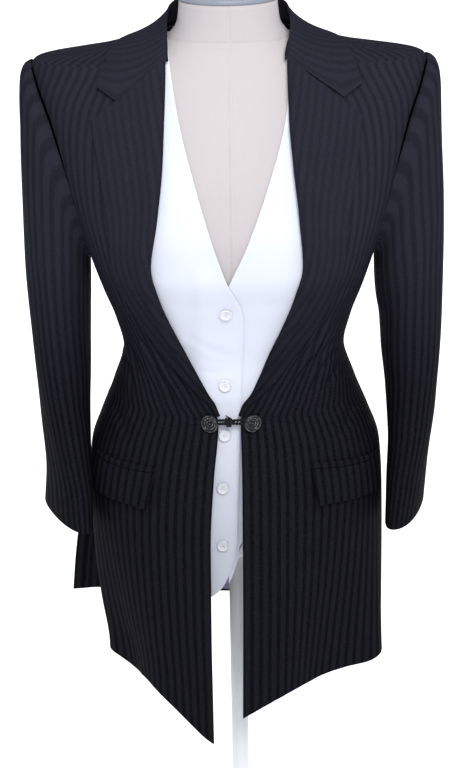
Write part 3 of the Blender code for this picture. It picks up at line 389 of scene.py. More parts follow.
# half width and reach to front and back of the form and of the coat, and how square the two halves are
sections = table(
    "height form_wide form_front form_back coat_wide coat_front coat_back square_front square_back", [
        (0.550, 0.140, 0.094, 0.108, 0.1860, 0.152, 0.125, 1.50, 2.6),
        (0.620, 0.140, 0.094, 0.108, 0.1855, 0.150, 0.125, 1.55, 2.6),
        (0.690, 0.140, 0.094, 0.108, 0.1850, 0.146, 0.124, 1.70, 2.6),
        (0.760, 0.148, 0.098, 0.110, 0.1845, 0.141, 0.123, 1.95, 2.6),
        (0.840, 0.158, 0.103, 0.113, 0.1830, 0.135, 0.122, 2.25, 2.5),
        (0.900, 0.158, 0.103, 0.110, 0.1790, 0.130, 0.119, 2.40, 2.4),
        (0.935, 0.149, 0.100, 0.103, 0.1670, 0.122, 0.112, 2.40, 2.4),
        (0.980, 0.134, 0.095, 0.091, 0.1490, 0.111, 0.100, 2.35, 2.3),
        (1.030, 0.122, 0.091, 0.080, 0.1345, 0.106, 0.089, 2.30, 2.3),
        (1.070, 0.128, 0.098, 0.083, 0.1430, 0.112, 0.092, 2.35, 2.3),
        (1.110, 0.139, 0.112, 0.091, 0.1570, 0.124, 0.100, 2.45, 2.3),
        (1.150, 0.150, 0.128, 0.101, 0.1690, 0.139, 0.109, 2.60, 2.4),
        (1.190, 0.158, 0.132, 0.109, 0.1820, 0.143, 0.116, 2.60, 2.4),
        (1.235, 0.165, 0.122, 0.115, 0.1980, 0.135, 0.1225, 2.50, 2.4),
        (1.285, 0.171, 0.104, 0.117, 0.2120, 0.118, 0.1250, 2.40, 2.4),
        (1.320, 0.172, 0.089, 0.112, 0.2200, 0.102, 0.1200, 2.40, 2.4),
        (1.345, 0.164, 0.077, 0.103, 0.2260, 0.089, 0.1115, 2.40, 2.4),
        (1.360, 0.150, 0.069, 0.094, 0.2280, 0.079, 0.1025, 2.40, 2.4),
        (1.375, 0.128, 0.062, 0.083, 0.2285, 0.070, 0.091, 2.40, 2.4),
        (1.380, 0.118, 0.060, 0.079, 0.2255, 0.067, 0.087, 2.40, 2.4),
        (1.3845, 0.109, 0.058, 0.075, 0.1980, 0.064, 0.084, 2.40, 2.4),
        (1.389, 0.099, 0.055, 0.071, 0.1640, 0.062, 0.081, 2.40, 2.4),
        (1.396, 0.085, 0.052, 0.066, 0.1300, 0.058, 0.077, 2.40, 2.4),
        (1.402, 0.075, 0.050, 0.062, 0.1020, 0.054, 0.073, 2.35, 2.3),
        (1.409, 0.067, 0.049, 0.058, 0.0780, 0.050, 0.069, 2.30, 2.3),
        (1.420, 0.060, 0.048, 0.055, 0.0760, 0.048, 0.067, 2.20, 2.2),
        (1.440, 0.057, 0.047, 0.051, 0.0740, 0.046, 0.064, 2.00, 2.0),
    ])
# how far each front skirt swings in from the section's half width
skirtSwing = table("height right left", [
    (0.550, 0.0330, 0.0010), (0.620, 0.0280, 0.0005), (0.690, 0.0150, 0.0), (0.760, 0.0055, 0.0),
    (0.840, 0.0005, 0.0), (0.860, 0.0, 0.0),
])
# the side edges of the back skirt, and how far behind its middle and its corners hang
backSkirt = table("height right_edge left_edge back corner_back", [
    (0.600, 0.2270, 0.1880, 0.128, 0.142), (0.620, 0.2250, 0.1870, 0.128, 0.140),
    (0.680, 0.2180, 0.1860, 0.127, 0.128), (0.740, 0.2080, 0.1850, 0.126, 0.112),
    (0.800, 0.1900, 0.1800, 0.124, 0.090), (0.860, 0.1650, 0.1650, 0.122, 0.066),
])
# angle of the side-back seam from the front, in degrees
sideSeam = table("height angle", [
    (0.550, 118.0), (0.860, 117.0), (0.940, 112.0), (1.030, 106.0), (1.100, 98.0), (1.146, 90.0),
])
# the fronts' edges in front view, which turn into the roll lines above the link
frontEdge = table("height right left", [
    (0.550, -0.0340, 0.0030), (0.650, -0.0340, 0.0045), (0.750, -0.0330, 0.0060), (0.820, -0.0320, 0.0065),
    (0.900, -0.0265, 0.0070), (0.968, -0.0200, 0.0065), (0.985, -0.0210, 0.0090), (1.000, -0.0280, 0.0190),
    (1.020, -0.0385, 0.0290), (1.050, -0.0530, 0.0420), (1.085, -0.0690, 0.0590), (1.125, -0.0840, 0.0730),
    (1.163, -0.0915, 0.0800), (1.220, -0.0845, 0.0755), (1.280, -0.0780, 0.0710), (1.330, -0.0750, 0.0680),
    (1.387, -0.0710, 0.0690), (1.404, -0.0715, 0.0715), (1.410, -0.0730, 0.0730),
])
# how far outside the front's sewn edge each lapel's roll opens
rollEase = table("height right left", [
    (0.968, 0.0, 0.0), (0.985, 0.0056, 0.0036), (1.000, 0.0086, 0.0056), (1.020, 0.0092, 0.0056),
    (1.050, 0.0099, 0.0055), (1.085, 0.0099, 0.0044), (1.125, 0.0084, 0.0040), (1.163, 0.0072, 0.0052),
    (1.220, 0.0053, 0.0056), (1.280, 0.0042, 0.0039), (1.330, 0.0042, 0.0031), (1.387, 0.0060, 0.0016),
    (1.410, 0.0060, 0.0016),
])
coat = {"hem": 0.615, "skirtJoin": 0.865, "ventTop": 0.860, "armholeBottom": 1.146, "armholeTop": 1.378,
        "armholeReach": radians(24), "armholeRound": 2.2, "neck": 1.408, "wall": 0.0020, "rim": 0.0006,
        "seam": 0.00022, "bodyRadius": 0.150, "shoulderRadius": 0.50, "centreGap": 0.00015, "backCut": 0.205,
        "firstStripe": 0.0026, "linkLevel": 0.968, "tuck": 0.0042, "tuckFrom": 0.978, "tuckTo": 1.000}
# rows and columns of the coat's grids
coatRows = {"skirt": 84, "waist": 118, "waistFrom": 0.935, "waistTo": 1.138, "chest": 74, "shoulder": 25,
            "front": 98, "backSkirt": 132, "backChest": 66, "back": 64, "fan": 120, "fanColumns": 60}
# the fronts' hem, from the pointed front corner to the side seam
frontHem = {
    right: table("place height", [
        (0.00, 0.5415), (0.05, 0.5480), (0.10, 0.5575), (0.15, 0.5680), (0.20, 0.5800), (0.25, 0.5905),
        (0.30, 0.5965), (0.36, 0.5990), (0.42, 0.5970), (0.48, 0.5945), (0.54, 0.5985), (0.60, 0.6050),
        (0.68, 0.6110), (0.80, 0.6150), (1.00, 0.6150)]),
    left: table("place height", [
        (0.00, 0.5840), (0.05, 0.5905), (0.10, 0.5990), (0.15, 0.6060), (0.20, 0.6085), (0.25, 0.6080),
        (0.30, 0.6065), (0.35, 0.6080), (0.40, 0.6105), (0.45, 0.6120), (0.50, 0.6120), (0.56, 0.6140),
        (0.62, 0.6150), (1.00, 0.6150)]),
}
# folds of the skirts: place across, half width, how far each stands out at the hem, and where it starts
frontFolds = {
    right: table("place width depth top", [
        (0.26, 0.080, 0.0050, 0.900), (0.48, 0.080, -0.0060, 0.860), (0.66, 0.080, 0.0120, 0.840)]),
    left: table("place width depth top", [
        (0.14, 0.070, 0.0040, 0.900), (0.33, 0.100, -0.0130, 0.860), (0.56, 0.090, 0.0150, 0.840)]),
}
backFolds = {
    right: table("place width depth top", [
        (0.28, 0.110, 0.0090, 0.880), (0.55, 0.100, -0.0080, 0.850), (0.84, 0.120, 0.0100, 0.860)]),
    left: table("place width depth top", [
        (0.24, 0.110, 0.0080, 0.880), (0.52, 0.100, -0.0080, 0.850), (0.80, 0.120, 0.0090, 0.860)]),
}
# where the fronts' stripes start from above the link, and how they lean, as a place across the front
stripeStart = table("height right left", [
    (0.900, 0.0265, 0.0070), (0.968, 0.0200, 0.0065), (0.985, 0.0290, 0.0155), (1.000, 0.0380, 0.0245),
    (1.025, 0.0570, 0.0435), (1.050, 0.0730, 0.0595), (1.085, 0.0910, 0.0775), (1.125, 0.1040, 0.0905),
    (1.163, 0.1100, 0.0965), (1.220, 0.1110, 0.0975), (1.280, 0.1070, 0.0935), (1.330, 0.0970, 0.0835),
    (1.380, 0.0700, 0.0565), (1.410, 0.0550, 0.0415),
])
stripeCrowd = table("height factor", [
    (0.540, 1.00), (0.860, 1.00), (0.930, 1.06), (0.985, 1.25), (1.040, 1.42), (1.085, 1.42), (1.125, 1.28),
    (1.163, 1.14), (1.220, 1.03), (1.280, 1.00), (1.410, 1.00),
])


def sideValue(rows, side, height):
    return along(rows, nodeWord[side], height)


def section(kind, height, angle, side=left):
    # a flattened ellipse at each height: angle 0 at the front, 90 degrees at the side, 180 at the back
    height, angle = np.broadcast_arrays(np.asarray(height, float), np.asarray(angle, float))
    wide = along(sections, kind + "_wide", height)
    if kind == "coat":
        wide = wide - sideValue(skirtSwing, side, height)
    facing = np.cos(angle) >= 0
    reach = np.where(facing, along(sections, kind + "_front", height),
                     along(sections, kind + "_back", height))
    square = np.where(facing, along(sections, "square_front", height), along(sections, "square_back", height))
    across = np.sign(np.sin(angle)) * wide * np.abs(np.sin(angle)) ** (2 / square)
    ahead = -np.sign(np.cos(angle)) * reach * np.abs(np.cos(angle)) ** (2 / square)
    return np.stack([side * across, ahead, height], -1)


def angleOf(kind, height, x, side=left):
    wide = along(sections, kind + "_wide", height)
    if kind == "coat":
        wide = wide - sideValue(skirtSwing, side, height)
    share = np.clip(side * np.asarray(x, float) / wide, -0.999, 0.999)
    power = along(sections, "square_front", height) / 2
    return np.sign(share) * np.arcsin(np.abs(share) ** power)


def armholeCut(height, bottom, top, reach):
    # how far the armhole reaches round, on a rounded ellipse between its lowest and highest point
    place = np.clip((2 * height - top - bottom) / (top - bottom), -1, 1)
    return reach * (1 - np.abs(place) ** coat["armholeRound"]) ** (1 / coat["armholeRound"])


def armholeRows(bottom, top, count):
    # heights that crowd towards both ends of the armhole
    return (top + bottom) / 2 - (top - bottom) / 2 * np.cos(np.linspace(0, pi, count))


def foldShift(folds, place, height):
    # each fold is a bell across the skirt, which deepens downwards from its top
    shift = np.zeros_like(place)
    for centre, width, depth, top in zip(folds["place"], folds["width"], folds["depth"], folds["top"]):
        ramp = np.clip((top - height) / (top - coat["hem"]), 0, 1.2)
        shift = shift + depth * ramp ** 1.3 * np.exp(-((place - centre) / width) ** 2)
    return shift


def outward(points):
    # unit normals of a grid, pointing away from its own middle
    normal = np.cross(np.gradient(points, axis=1), np.gradient(points, axis=0))
    normal /= np.maximum(np.linalg.norm(normal, axis=-1, keepdims=True), 1e-12)
    middle = points.reshape(-1, 3).mean(0) * (1, 0, 1) + (0, 0.01, 0)
    return normal * np.sign(np.sum(normal * (points - middle)))


def creaseField(points, creases):
    # creases are rows of (depth, width, places in front view): a soft trough with a low ridge on each side,
    # which fades out towards both ends of its line
    flat = points[..., [0, 2]]
    shift = np.zeros(points.shape[:-1])
    for depth, width, line in creases:
        line = np.array(line, float)
        lengths = np.linalg.norm(np.diff(line, axis=0), axis=1)
        starts = np.concatenate([[0], np.cumsum(lengths)])
        nearest = np.full(points.shape[:-1], 9.0)
        signed = np.zeros_like(nearest)
        run = np.zeros_like(nearest)
        for k, length in enumerate(lengths):
            way = (line[k + 1] - line[k]) / length
            offset = flat - line[k]
            t = np.clip(offset @ way, 0, length)
            gap = offset - t[..., None] * way
            distance = np.linalg.norm(gap, axis=-1)
            closer = distance < nearest
            nearest = np.where(closer, distance, nearest)
            signed = np.where(closer, np.sign(gap[..., 0] * way[1] - gap[..., 1] * way[0]) * distance, signed)
            run = np.where(closer, (starts[k] + t) / starts[-1], run)
        taper = np.sin(pi * np.clip(run, 0, 1)) ** 0.7 * smooth(3.5 * width, 2 * width, nearest)
        trough = np.exp(-(signed / width) ** 2)
        banks = (np.exp(-((signed - 1.8 * width) / width) ** 2)
                 + 0.6 * np.exp(-((signed + 1.8 * width) / width) ** 2))
        shift += depth * taper * (0.5 * banks - trough)
    return shift


def spread(count, edge=(0.0, 0.0004, 0.0010, 0.0018), width=0.2, ends=(True, True)):
    # even shares with a few close lines at the ends, for the roll of a seam or a pressed edge
    share = np.linspace(0, 1, count)
    close = np.array(edge) / width
    inner = share[(share > close[-1] * 1.6) & (share < 1 - close[-1] * 1.6)]
    first = close if ends[0] else np.array([0.0])
    last = 1 - close[::-1] if ends[1] else np.array([1.0])
    return np.concatenate([first, inner, last])


pressed = np.array([0.0004, 0.0010, 0.0019])  # close rows beside a pressed edge


def seamDip(distance, depth=0.0007, width=0.0011):
    # how far the cloth turns in at a seam or a pressed edge
    return depth * np.exp(-(distance / width) ** 2)


def cutOf(points):
    # width and length of the flat cut, and its area, from the surface's own lengths
    across = np.linalg.norm(np.diff(points, axis=1), axis=-1).sum(1).max()
    down = np.linalg.norm(np.diff(points, axis=0), axis=-1).sum(0).max()
    a, b, c, d = points[:-1, :-1], points[:-1, 1:], points[1:, 1:], points[1:, :-1]
    first = np.linalg.norm(np.cross(b - a, d - a), axis=-1)
    second = np.linalg.norm(np.cross(b - c, d - c), axis=-1)
    area = (first + second).sum() / 2
    return (round(float(across), 3), round(float(down), 3)), round(float(area), 4)


def arcLengths(points, axis):
    step = np.linalg.norm(np.diff(points, axis=axis), axis=-1)
    return np.concatenate([np.zeros_like(np.take(step, [0], axis)), np.cumsum(step, axis)], axis)


def meshPiece(name, points, faces, slot, smoothed=True):
    data = bpy.data.meshes.new(name)
    data.from_pydata(points, [], faces.tolist())
    if smoothed:
        data.shade_smooth()
    data.materials.append(materials[slot])
    made = bpy.data.objects.new(name, data)
    bpy.context.scene.collection.objects.link(made)
    return made


def gridFaces(index):
    return np.stack([index[:-1, :-1], index[:-1, 1:], index[1:, 1:], index[1:, :-1]], -1).reshape(-1, 4)


def gridPiece(name, points, slot, flat, wall=None, loop=False, facing=None, rim=0.0005):
    # a surface on a grid of points, turned to face outwards; a wall grows inwards and gets rolled edges
    rows, columns = points.shape[:2]
    index = np.arange(rows * columns).reshape(rows, columns)
    if loop:
        index = np.concatenate([index, index[:, :1]], axis=1)
    faces = gridFaces(index)
    facing = outward(points) if facing is None else facing
    corners = points.reshape(-1, 3)[faces]
    normal = np.cross(corners[:, 2] - corners[:, 0], corners[:, 3] - corners[:, 1])
    if np.sum(normal * facing.reshape(-1, 3)[faces[:, 0]]) < 0:
        faces = faces[:, ::-1]
    made = meshPiece(name, points.reshape(-1, 3), faces, slot)
    layer = made.data.uv_layers.new(name="flat")
    layer.data.foreach_set("uv", flat.reshape(-1, 2)[faces.reshape(-1)].astype(np.float32).ravel())
    if wall:
        solid = made.modifiers.new("wall", "SOLIDIFY")
        solid.thickness = wall
        solid.offset = -1
        edge = made.modifiers.new("rolledEdge", "BEVEL")
        edge.limit_method = "ANGLE"
        edge.angle_limit = radians(55)
        edge.width = rim
        edge.segments = 2
        edge.harden_normals = True
    return made


def keep(piece, slot, *nodes):
    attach(piece, "root")
    if nodes:
        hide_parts(*nodes)


def declareCloth(piece, points, layers=1):
    # a strip sewn on double is cut to twice the length that shows
    flat, area = cutOf(points)
    flat = (flat[0], flat[1] * layers)
    print(f"{piece.name}: cut {flat[0]:.3f} x {flat[1]:.3f} m, {area:.4f} square metres")


# the form and its stand

form = {"bottom": 0.790, "top": 1.446, "rows": 126, "columns": 144, "seamDepth": 0.0007, "seamWidth": 0.0011,
        "princess": 0.072, "princessNeck": 0.62, "neckSeam": 1.4045, "rim": 0.012, "rimTurn": 0.075,
        "around": 0.14, "bottomRing": 0.9, "middle": 0.02}
neckCap = {"steps": 72, "profile": [
    (0.02, 0.0003), (1.0, 0.0003), (1.015, 0.0008), (1.02, 0.0018), (1.02, 0.0042), (1.012, 0.0054),
    (0.995, 0.0060), (0.86, 0.0060), (0.845, 0.0056), (0.83, 0.0060), (0.02, 0.0062)]}


def formRadiusShift(angle, height):
    # sewn lines: centre front and back, one down each side of them, both sides, and round the neck
    x = along(sections, "form_wide", height) * np.sin(angle)
    depth = along(sections, "form_front", height)
    lines = [np.abs(x)]
    neckward = form["princessNeck"] + (1 - form["princessNeck"]) * smooth(1.385, 1.30, height)
    aboveNeck = height > form["neckSeam"] - 0.0005
    for centre in (form["princess"], -form["princess"]):
        lines.append(np.where(aboveNeck, 9.0, np.abs(x - centre * neckward)))
    lines.append(np.abs(np.cos(angle)) * depth)
    lines.append(np.abs(height - form["neckSeam"]))
    return -form["seamDepth"] * np.max([np.exp(-(line / form["seamWidth"]) ** 2) for line in lines], axis=0)


def buildForm():
    rise = np.linspace(form["bottom"] + form["rim"], form["top"], form["rows"])
    rise = np.sort(np.concatenate([rise, form["neckSeam"] + form["seamWidth"] * np.arange(-2, 3)]))
    turned = np.linspace(0, pi / 2, 7)[:-1]  # the lower rim turns under
    levels = np.concatenate([form["bottom"] + form["rim"] * (1 - np.cos(turned)), rise])
    shrink = np.ones(len(levels))
    shrink[:len(turned)] = 1 - form["rimTurn"] * (1 - np.sin(turned))
    # columns between even angles and even widths, with more of them beside the sewn lines
    count = form["columns"] // 4 + 1
    quarter = 0.4 * np.arcsin(np.linspace(0, 1, count)) + 0.6 * np.linspace(0, pi / 2, count)
    close = np.array([0.006, 0.013, 0.021])
    quarter = np.sort(np.concatenate([quarter, close, pi / 2 - close]))
    half = np.concatenate([quarter, pi - quarter[::-1][1:]])
    angles = np.concatenate([half, 2 * pi - half[::-1][1:-1]])
    height, angle = np.meshgrid(levels, angles, indexing="ij")
    points = section("form", height, angle)
    facing = outward(points)
    facing[..., :2] *= np.sign((facing[..., :2] * points[..., :2]).sum(-1))[..., None]
    points = points + facing * formRadiusShift(angle, height)[..., None]
    points[..., :2] *= shrink[:, None, None]
    flat = np.stack([angle * form["around"], height], -1)
    # flat ends, a little in from the rims
    floorRing = points[:1] * (form["bottomRing"], form["bottomRing"], 1)
    inner = points[:1] * (form["middle"], form["middle"], 1)
    top = points[-1:] * (form["middle"], form["middle"], 1)
    points = np.concatenate([inner, floorRing, points, top])
    flat = np.concatenate([flat[:1], flat[:1], flat, flat[-1:]])
    body = gridPiece("dressForm", points, "form_cloth", flat, loop=True, facing=points - points.mean((0, 1)))
    keep(body, "form_cloth", "form_body")

    # neck cap: a low plate with a rounded rim
    steps, profile = neckCap["steps"], neckCap["profile"]
    ring = section("form", form["top"], np.linspace(0, 2 * pi, steps, endpoint=False))
    points = np.array([ring * (scale, scale, 1) + (0, 0, lift) for scale, lift in profile])
    across, down = np.arange(steps) * 0.005, np.arange(len(profile))[:, None] * 0.01
    flat = np.stack(np.broadcast_arrays(across, down), -1)
    cap = gridPiece("neckCap", points, "form_cap", flat, loop=True, facing=points - points.mean((0, 1)))
    keep(cap, "form_cap", "form_neck_cap")


def turnedPiece(name, profile, slot, steps=64, place=(0, 0, 0), direction=(0, 0, 1)):
    # a closed turned piece from (radius, height) pairs, starting and ending near the middle
    angles = np.linspace(0, 2 * pi, steps, endpoint=False)
    profile = np.array(profile, float)
    x = profile[:, :1] * np.cos(angles)
    y = profile[:, :1] * np.sin(angles)
    points = np.stack([x, y, np.broadcast_to(profile[:, 1:], x.shape)], -1)
    spin = np.array(Vector(direction).to_track_quat("Z", "Y").to_matrix())
    middle = points.mean((0, 1))
    facing = (points - middle) @ spin.T
    points = points @ spin.T + np.array(place)
    flat = np.stack(np.broadcast_arrays(angles * 0.05, profile[:, 1:]), -1)
    return gridPiece(name, points, slot, flat, loop=True, facing=facing)


stand = {"poleRadius": 0.0110, "socketRadius": 0.0190, "flangeRadius": 0.0450, "socketLength": 0.050,
         "baseRadius": 0.170, "baseThick": 0.008, "gap": 0.0003, "middle": 0.0004}


def buildStand():
    low = form["bottom"] - stand["socketLength"]
    top = form["bottom"] - stand["gap"]
    middle, wide, flange = stand["middle"], stand["socketRadius"], stand["flangeRadius"]
    socket = turnedPiece("standSocket", [
        (middle, top), (flange - 0.001, top), (flange, top - 0.001), (flange, top - 0.005),
        (flange - 0.001, top - 0.006), (wide + 0.005, top - 0.0075), (wide + 0.001, top - 0.010),
        (wide, top - 0.014), (wide, low + 0.004), (wide - 0.0004, low + 0.001), (wide - 0.0014, low),
        (middle, low)], "stand_paint")
    keep(socket, "stand_paint", "stand_socket")
    radius, high, foot = stand["poleRadius"], low - stand["gap"], stand["baseThick"] + stand["gap"]
    pole = turnedPiece("standPole", [
        (middle, high), (radius, high), (radius, 0.30), (radius, foot), (middle, foot)], "stand_paint", 48)
    keep(pole, "stand_paint", "stand_pole")
    radius, thick = stand["baseRadius"], stand["baseThick"]
    base = turnedPiece("standBase", [
        (middle, thick), (radius - 0.030, thick), (radius - 0.006, thick - 0.0003),
        (radius - 0.0025, thick - 0.0013), (radius - 0.0005, thick - 0.0034), (radius, 0.0030),
        (radius - 0.0002, 0.0008), (radius - 0.001, 0.0), (middle, 0.0)], "stand_paint", 128)
    keep(base, "stand_paint", "stand_base")


buildForm()
buildStand()
print("form and stand ready")

# the coat's fronts and backs

# creases of the waist, the chest and the hip, as (depth, width, places in front view)
frontCreases = {
    left: [
        (0.0039, 0.0041, [(0.1042, 1.0980), (0.0774, 1.0530), (0.0536, 1.0227), (0.0343, 0.9925)]),
        (0.0036, 0.0039, [(0.1154, 1.0912), (0.0966, 1.0593), (0.0631, 1.0213), (0.0414, 0.9945)]),
        (0.0042, 0.0041, [(0.1220, 1.0791), (0.1017, 1.0411), (0.0750, 1.0124), (0.0627, 0.9852)]),
        (0.0035, 0.0036, [(0.1203, 1.0552), (0.0944, 1.0226), (0.0773, 1.0022)]),
        (0.0032, 0.0036, [(0.1234, 1.0357), (0.1043, 1.0195), (0.0917, 0.9946)]),
        (0.0027, 0.0034, [(0.1260, 1.0148), (0.1141, 1.0023), (0.1077, 0.9906)]),
        (0.0018, 0.0065, [(0.1300, 1.1300), (0.1150, 1.1150), (0.0950, 1.1050)]),
        (0.0016, 0.0060, [(0.1450, 0.9650), (0.1300, 0.9450), (0.1200, 0.9300)]),
    ],
    right: [
        (0.0039, 0.0048, [(-0.0967, 1.0522), (-0.0690, 1.0205), (-0.0391, 0.9816)]),
        (0.0035, 0.0043, [(-0.1044, 1.0418), (-0.0836, 1.0088), (-0.0630, 0.9709)]),
        (0.0032, 0.0039, [(-0.1085, 1.0600), (-0.0905, 1.0243)]),
        (0.0027, 0.0034, [(-0.1264, 1.0506), (-0.1151, 1.0151)]),
        (0.0027, 0.0034, [(-0.1306, 1.0237), (-0.1207, 0.9904)]),
        (0.0010, 0.0018, [(-0.1110, 0.9560), (-0.1122, 0.9340), (-0.1124, 0.9125)]),
        (0.0017, 0.0060, [(-0.1350, 1.1250), (-0.1180, 1.1100), (-0.1020, 1.1050)]),
        (0.0016, 0.0060, [(-0.1480, 0.9700), (-0.1330, 0.9480), (-0.1230, 0.9300)]),
    ],
}


def coatEnd(height, behind):
    # angle of the panel's rear or outer end, at the side seam, the armhole and the shoulder seam
    sign = 1 if behind else -1
    seam = np.radians(along(sideSeam, "angle", height)) + sign * coat["seam"] / coat["bodyRadius"]
    shoulder = np.full_like(height, pi / 2 + sign * coat["seam"] / coat["shoulderRadius"])
    cut = armholeCut(height, coat["armholeBottom"], coat["armholeTop"], coat["armholeReach"])
    high = np.where(height > coat["armholeTop"], shoulder, pi / 2 + sign * cut)
    return np.where(height < coat["armholeBottom"], seam, high)


def frontBase(side, level, share):
    drop = coat["hem"] - along(frontHem[side], "height", share, "place")
    ramp = np.clip((coat["skirtJoin"] - level) / (coat["skirtJoin"] - coat["hem"]), 0, 1)
    height = level - drop * ramp
    # above the link the front's own edge lies hidden inside the lapel's roll
    tuck = coat["tuck"] * smooth(coat["tuckFrom"], coat["tuckTo"], height) + sideValue(rollEase, side, height)
    edge = angleOf("coat", height, sideValue(frontEdge, side, height) + side * tuck, side)
    angle = edge + (coatEnd(height, False) - edge) * share
    return section("coat", height, angle, side)


def coatFront(side, level, share, lift=0.0):
    # the section's surface moved along its normal by the folds, the creases and a lift
    level, share = np.broadcast_arrays(np.asarray(level, float), np.asarray(share, float))
    small = 0.0006
    points = frontBase(side, level, share)
    after, before = np.minimum(share + small, 1), np.maximum(share - small, 0)
    across = frontBase(side, level, after) - frontBase(side, level, before)
    down = frontBase(side, level + small, share) - frontBase(side, level - small, share)
    normal = np.cross(across, down) * side
    normal /= np.maximum(np.linalg.norm(normal, axis=-1, keepdims=True), 1e-12)
    ease = smooth(0, 0.02, share) * smooth(1, 0.985, share)
    shift = foldShift(frontFolds[side], share, points[..., 2])
    shift = shift + ease * creaseField(points, frontCreases[side])
    return points + normal * (shift + lift)[..., None]


def frontStripes(side, level, share):
    # distance across the front from a start that leans outwards over the waist and back at the shoulder,
    # crowded where the waist is taken in
    level, share = np.broadcast_arrays(np.asarray(level, float), np.asarray(share, float))
    points = frontBase(side, level, share)
    height = points[..., 2]
    low, high, last = 0.50, 1.41, radians(118)
    rows, columns = coatRows["fan"], coatRows["fanColumns"]
    fan = section("coat", np.linspace(low, high, rows)[:, None], np.linspace(0, last, columns)[None, :], side)
    lengths = arcLengths(fan, 1)
    wide = np.abs(section("coat", height, np.full_like(height, pi / 2), side)[..., 0])
    power = along(sections, "square_front", height) / 2
    angle = np.arcsin(np.clip(np.abs(points[..., 0]) / wide, 0, 1) ** power)
    angle = np.where(points[..., 1] > 0, pi - angle, angle)
    row = np.clip((height - low) / (high - low) * (rows - 1), 0, rows - 1.001)
    column = np.clip(angle / last * (columns - 1), 0, columns - 1.001)
    r, c = np.floor(row).astype(int), np.floor(column).astype(int)
    part, over = row - r, column - c
    reach = ((1 - part) * ((1 - over) * lengths[r, c] + over * lengths[r, c + 1])
             + part * ((1 - over) * lengths[r + 1, c] + over * lengths[r + 1, c + 1]))
    reach = reach * np.where(points[..., 0] * side < 0, -1, 1)
    start = np.where(height < coat["linkLevel"], side * sideValue(frontEdge, side, height),
                     sideValue(stripeStart, side, height))
    return (reach - start) * along(stripeCrowd, "factor", height)


def shoulderLevels():
    # the same rows on the fronts and the backs, close together where the shoulder turns flat
    rise = np.linspace(0, 1, coatRows["shoulder"])[1:] ** 1.35
    return coat["armholeTop"] + (coat["neck"] - coat["armholeTop"]) * rise


underArm = [1.1405, 1.1425, 1.144]  # close rows just below the armhole


def frontLevels():
    skirt = np.linspace(coat["hem"], coatRows["waistFrom"], coatRows["skirt"])
    waist = np.linspace(coatRows["waistFrom"], coatRows["waistTo"], coatRows["waist"])[1:]
    chest = armholeRows(coat["armholeBottom"], coat["armholeTop"], coatRows["chest"])
    return np.sort(np.concatenate([skirt, coat["hem"] + pressed, waist, underArm, chest, shoulderLevels()]))


def buildFronts():
    for side in (right, left):
        level = frontLevels()[:, None]
        share = spread(coatRows["front"], width=0.22)[None, :]
        points = coatFront(side, level, share)
        facing = outward(points)
        run = arcLengths(points, 1)
        points = points - facing * seamDip(run[:, -1:] - run)[..., None]
        flat = np.stack([frontStripes(side, level, share), arcLengths(points, 0)], -1)
        made = gridPiece(f"coatFront{sideWord[side]}", points, "coat_cloth", flat, coat["wall"],
                         facing=facing, rim=coat["rim"])
        keep(made, "coat_cloth", f"coat_front_{nodeWord[side]}")
        declareCloth(made, points)


backCreases = {
    side: [
        (0.0016, 0.0045, [(side * 0.115, 1.060), (side * 0.080, 1.034), (side * 0.045, 1.018)]),
        (0.0014, 0.0042, [(side * 0.112, 1.036), (side * 0.078, 1.012), (side * 0.050, 1.000)]),
        (0.0013, 0.0040, [(side * 0.118, 1.008), (side * 0.090, 0.990), (side * 0.070, 0.984)]),
        (0.0015, 0.0090, [(side * 0.165, 1.300), (side * 0.135, 1.240), (side * 0.120, 1.180)]),
        (0.0012, 0.0075, [(side * 0.150, 1.180), (side * 0.110, 1.165), (side * 0.080, 1.160)]),
    ] for side in (right, left)
}


def backBase(side, level, share):
    # the section's surface above the vents, blended into a flatter skirt that swings out below them
    height = level + 0 * share
    share = share + 0 * level
    angle = pi + (coatEnd(height, True) - pi) * share
    points = section("coat", height, angle, side)
    points[..., 0] = np.where(share == 0, side * coat["centreGap"], points[..., 0])
    edge = along(backSkirt, nodeWord[side] + "_edge", height)
    back = along(backSkirt, "back", height)
    corner = along(backSkirt, "corner_back", height)
    x = side * (coat["centreGap"] + (edge - coat["centreGap"]) * share)
    flatSkirt = np.stack([x, back + (corner - back) * share ** 3, height], -1)
    blend = smooth(coat["ventTop"] + 0.01, coat["ventTop"] - 0.09, height)[..., None]
    points = points * (1 - blend) + flatSkirt * blend
    points[..., 1] += foldShift(backFolds[side], share, height)
    return points


def buildBacks():
    skirt = np.linspace(coat["hem"], coatRows["waistTo"], coatRows["backSkirt"])
    chest = armholeRows(coat["armholeBottom"], coat["armholeTop"], coatRows["backChest"])
    level = np.concatenate([coat["hem"] + pressed, skirt, underArm, chest, shoulderLevels()])
    level = np.sort(level)[:, None]
    share = spread(coatRows["back"], width=0.2)[None, :]
    for side in (right, left):
        points = backBase(side, level, share)
        facing = outward(points)
        shift = creaseField(points, backCreases[side]) * smooth(1, 0.97, share)
        points = points + facing * shift[..., None]
        run = arcLengths(points, 1)
        closed = smooth(0.840, 0.870, level)  # the side seam, above its vent
        points = points - facing * (seamDip(run[:, -1:] - run) * closed + seamDip(run))[..., None]
        across = coat["backCut"] * (share + 0 * level) + coat["firstStripe"]
        flat = np.stack([across, arcLengths(points, 0)], -1)
        made = gridPiece(f"coatBack{sideWord[side]}", points, "coat_cloth", flat, coat["wall"], facing=facing,
                         rim=coat["rim"])
        keep(made, "coat_cloth", f"coat_back_{nodeWord[side]}")
        declareCloth(made, points)


lining = {"low": 0.621, "high": 0.795, "rows": 64, "columns": 50, "reach": 0.93, "facing": 0.74,
          "facingColumns": 18, "apart": 0.004, "gap": 0.0036, "wall": 0.0010, "rim": 0.0003,
          "wrinkle": 0.0009, "wrinkleFrom": 0.795, "wrinkleTo": 0.70, "ripple": 0.0006, "deepest": 0.0016}


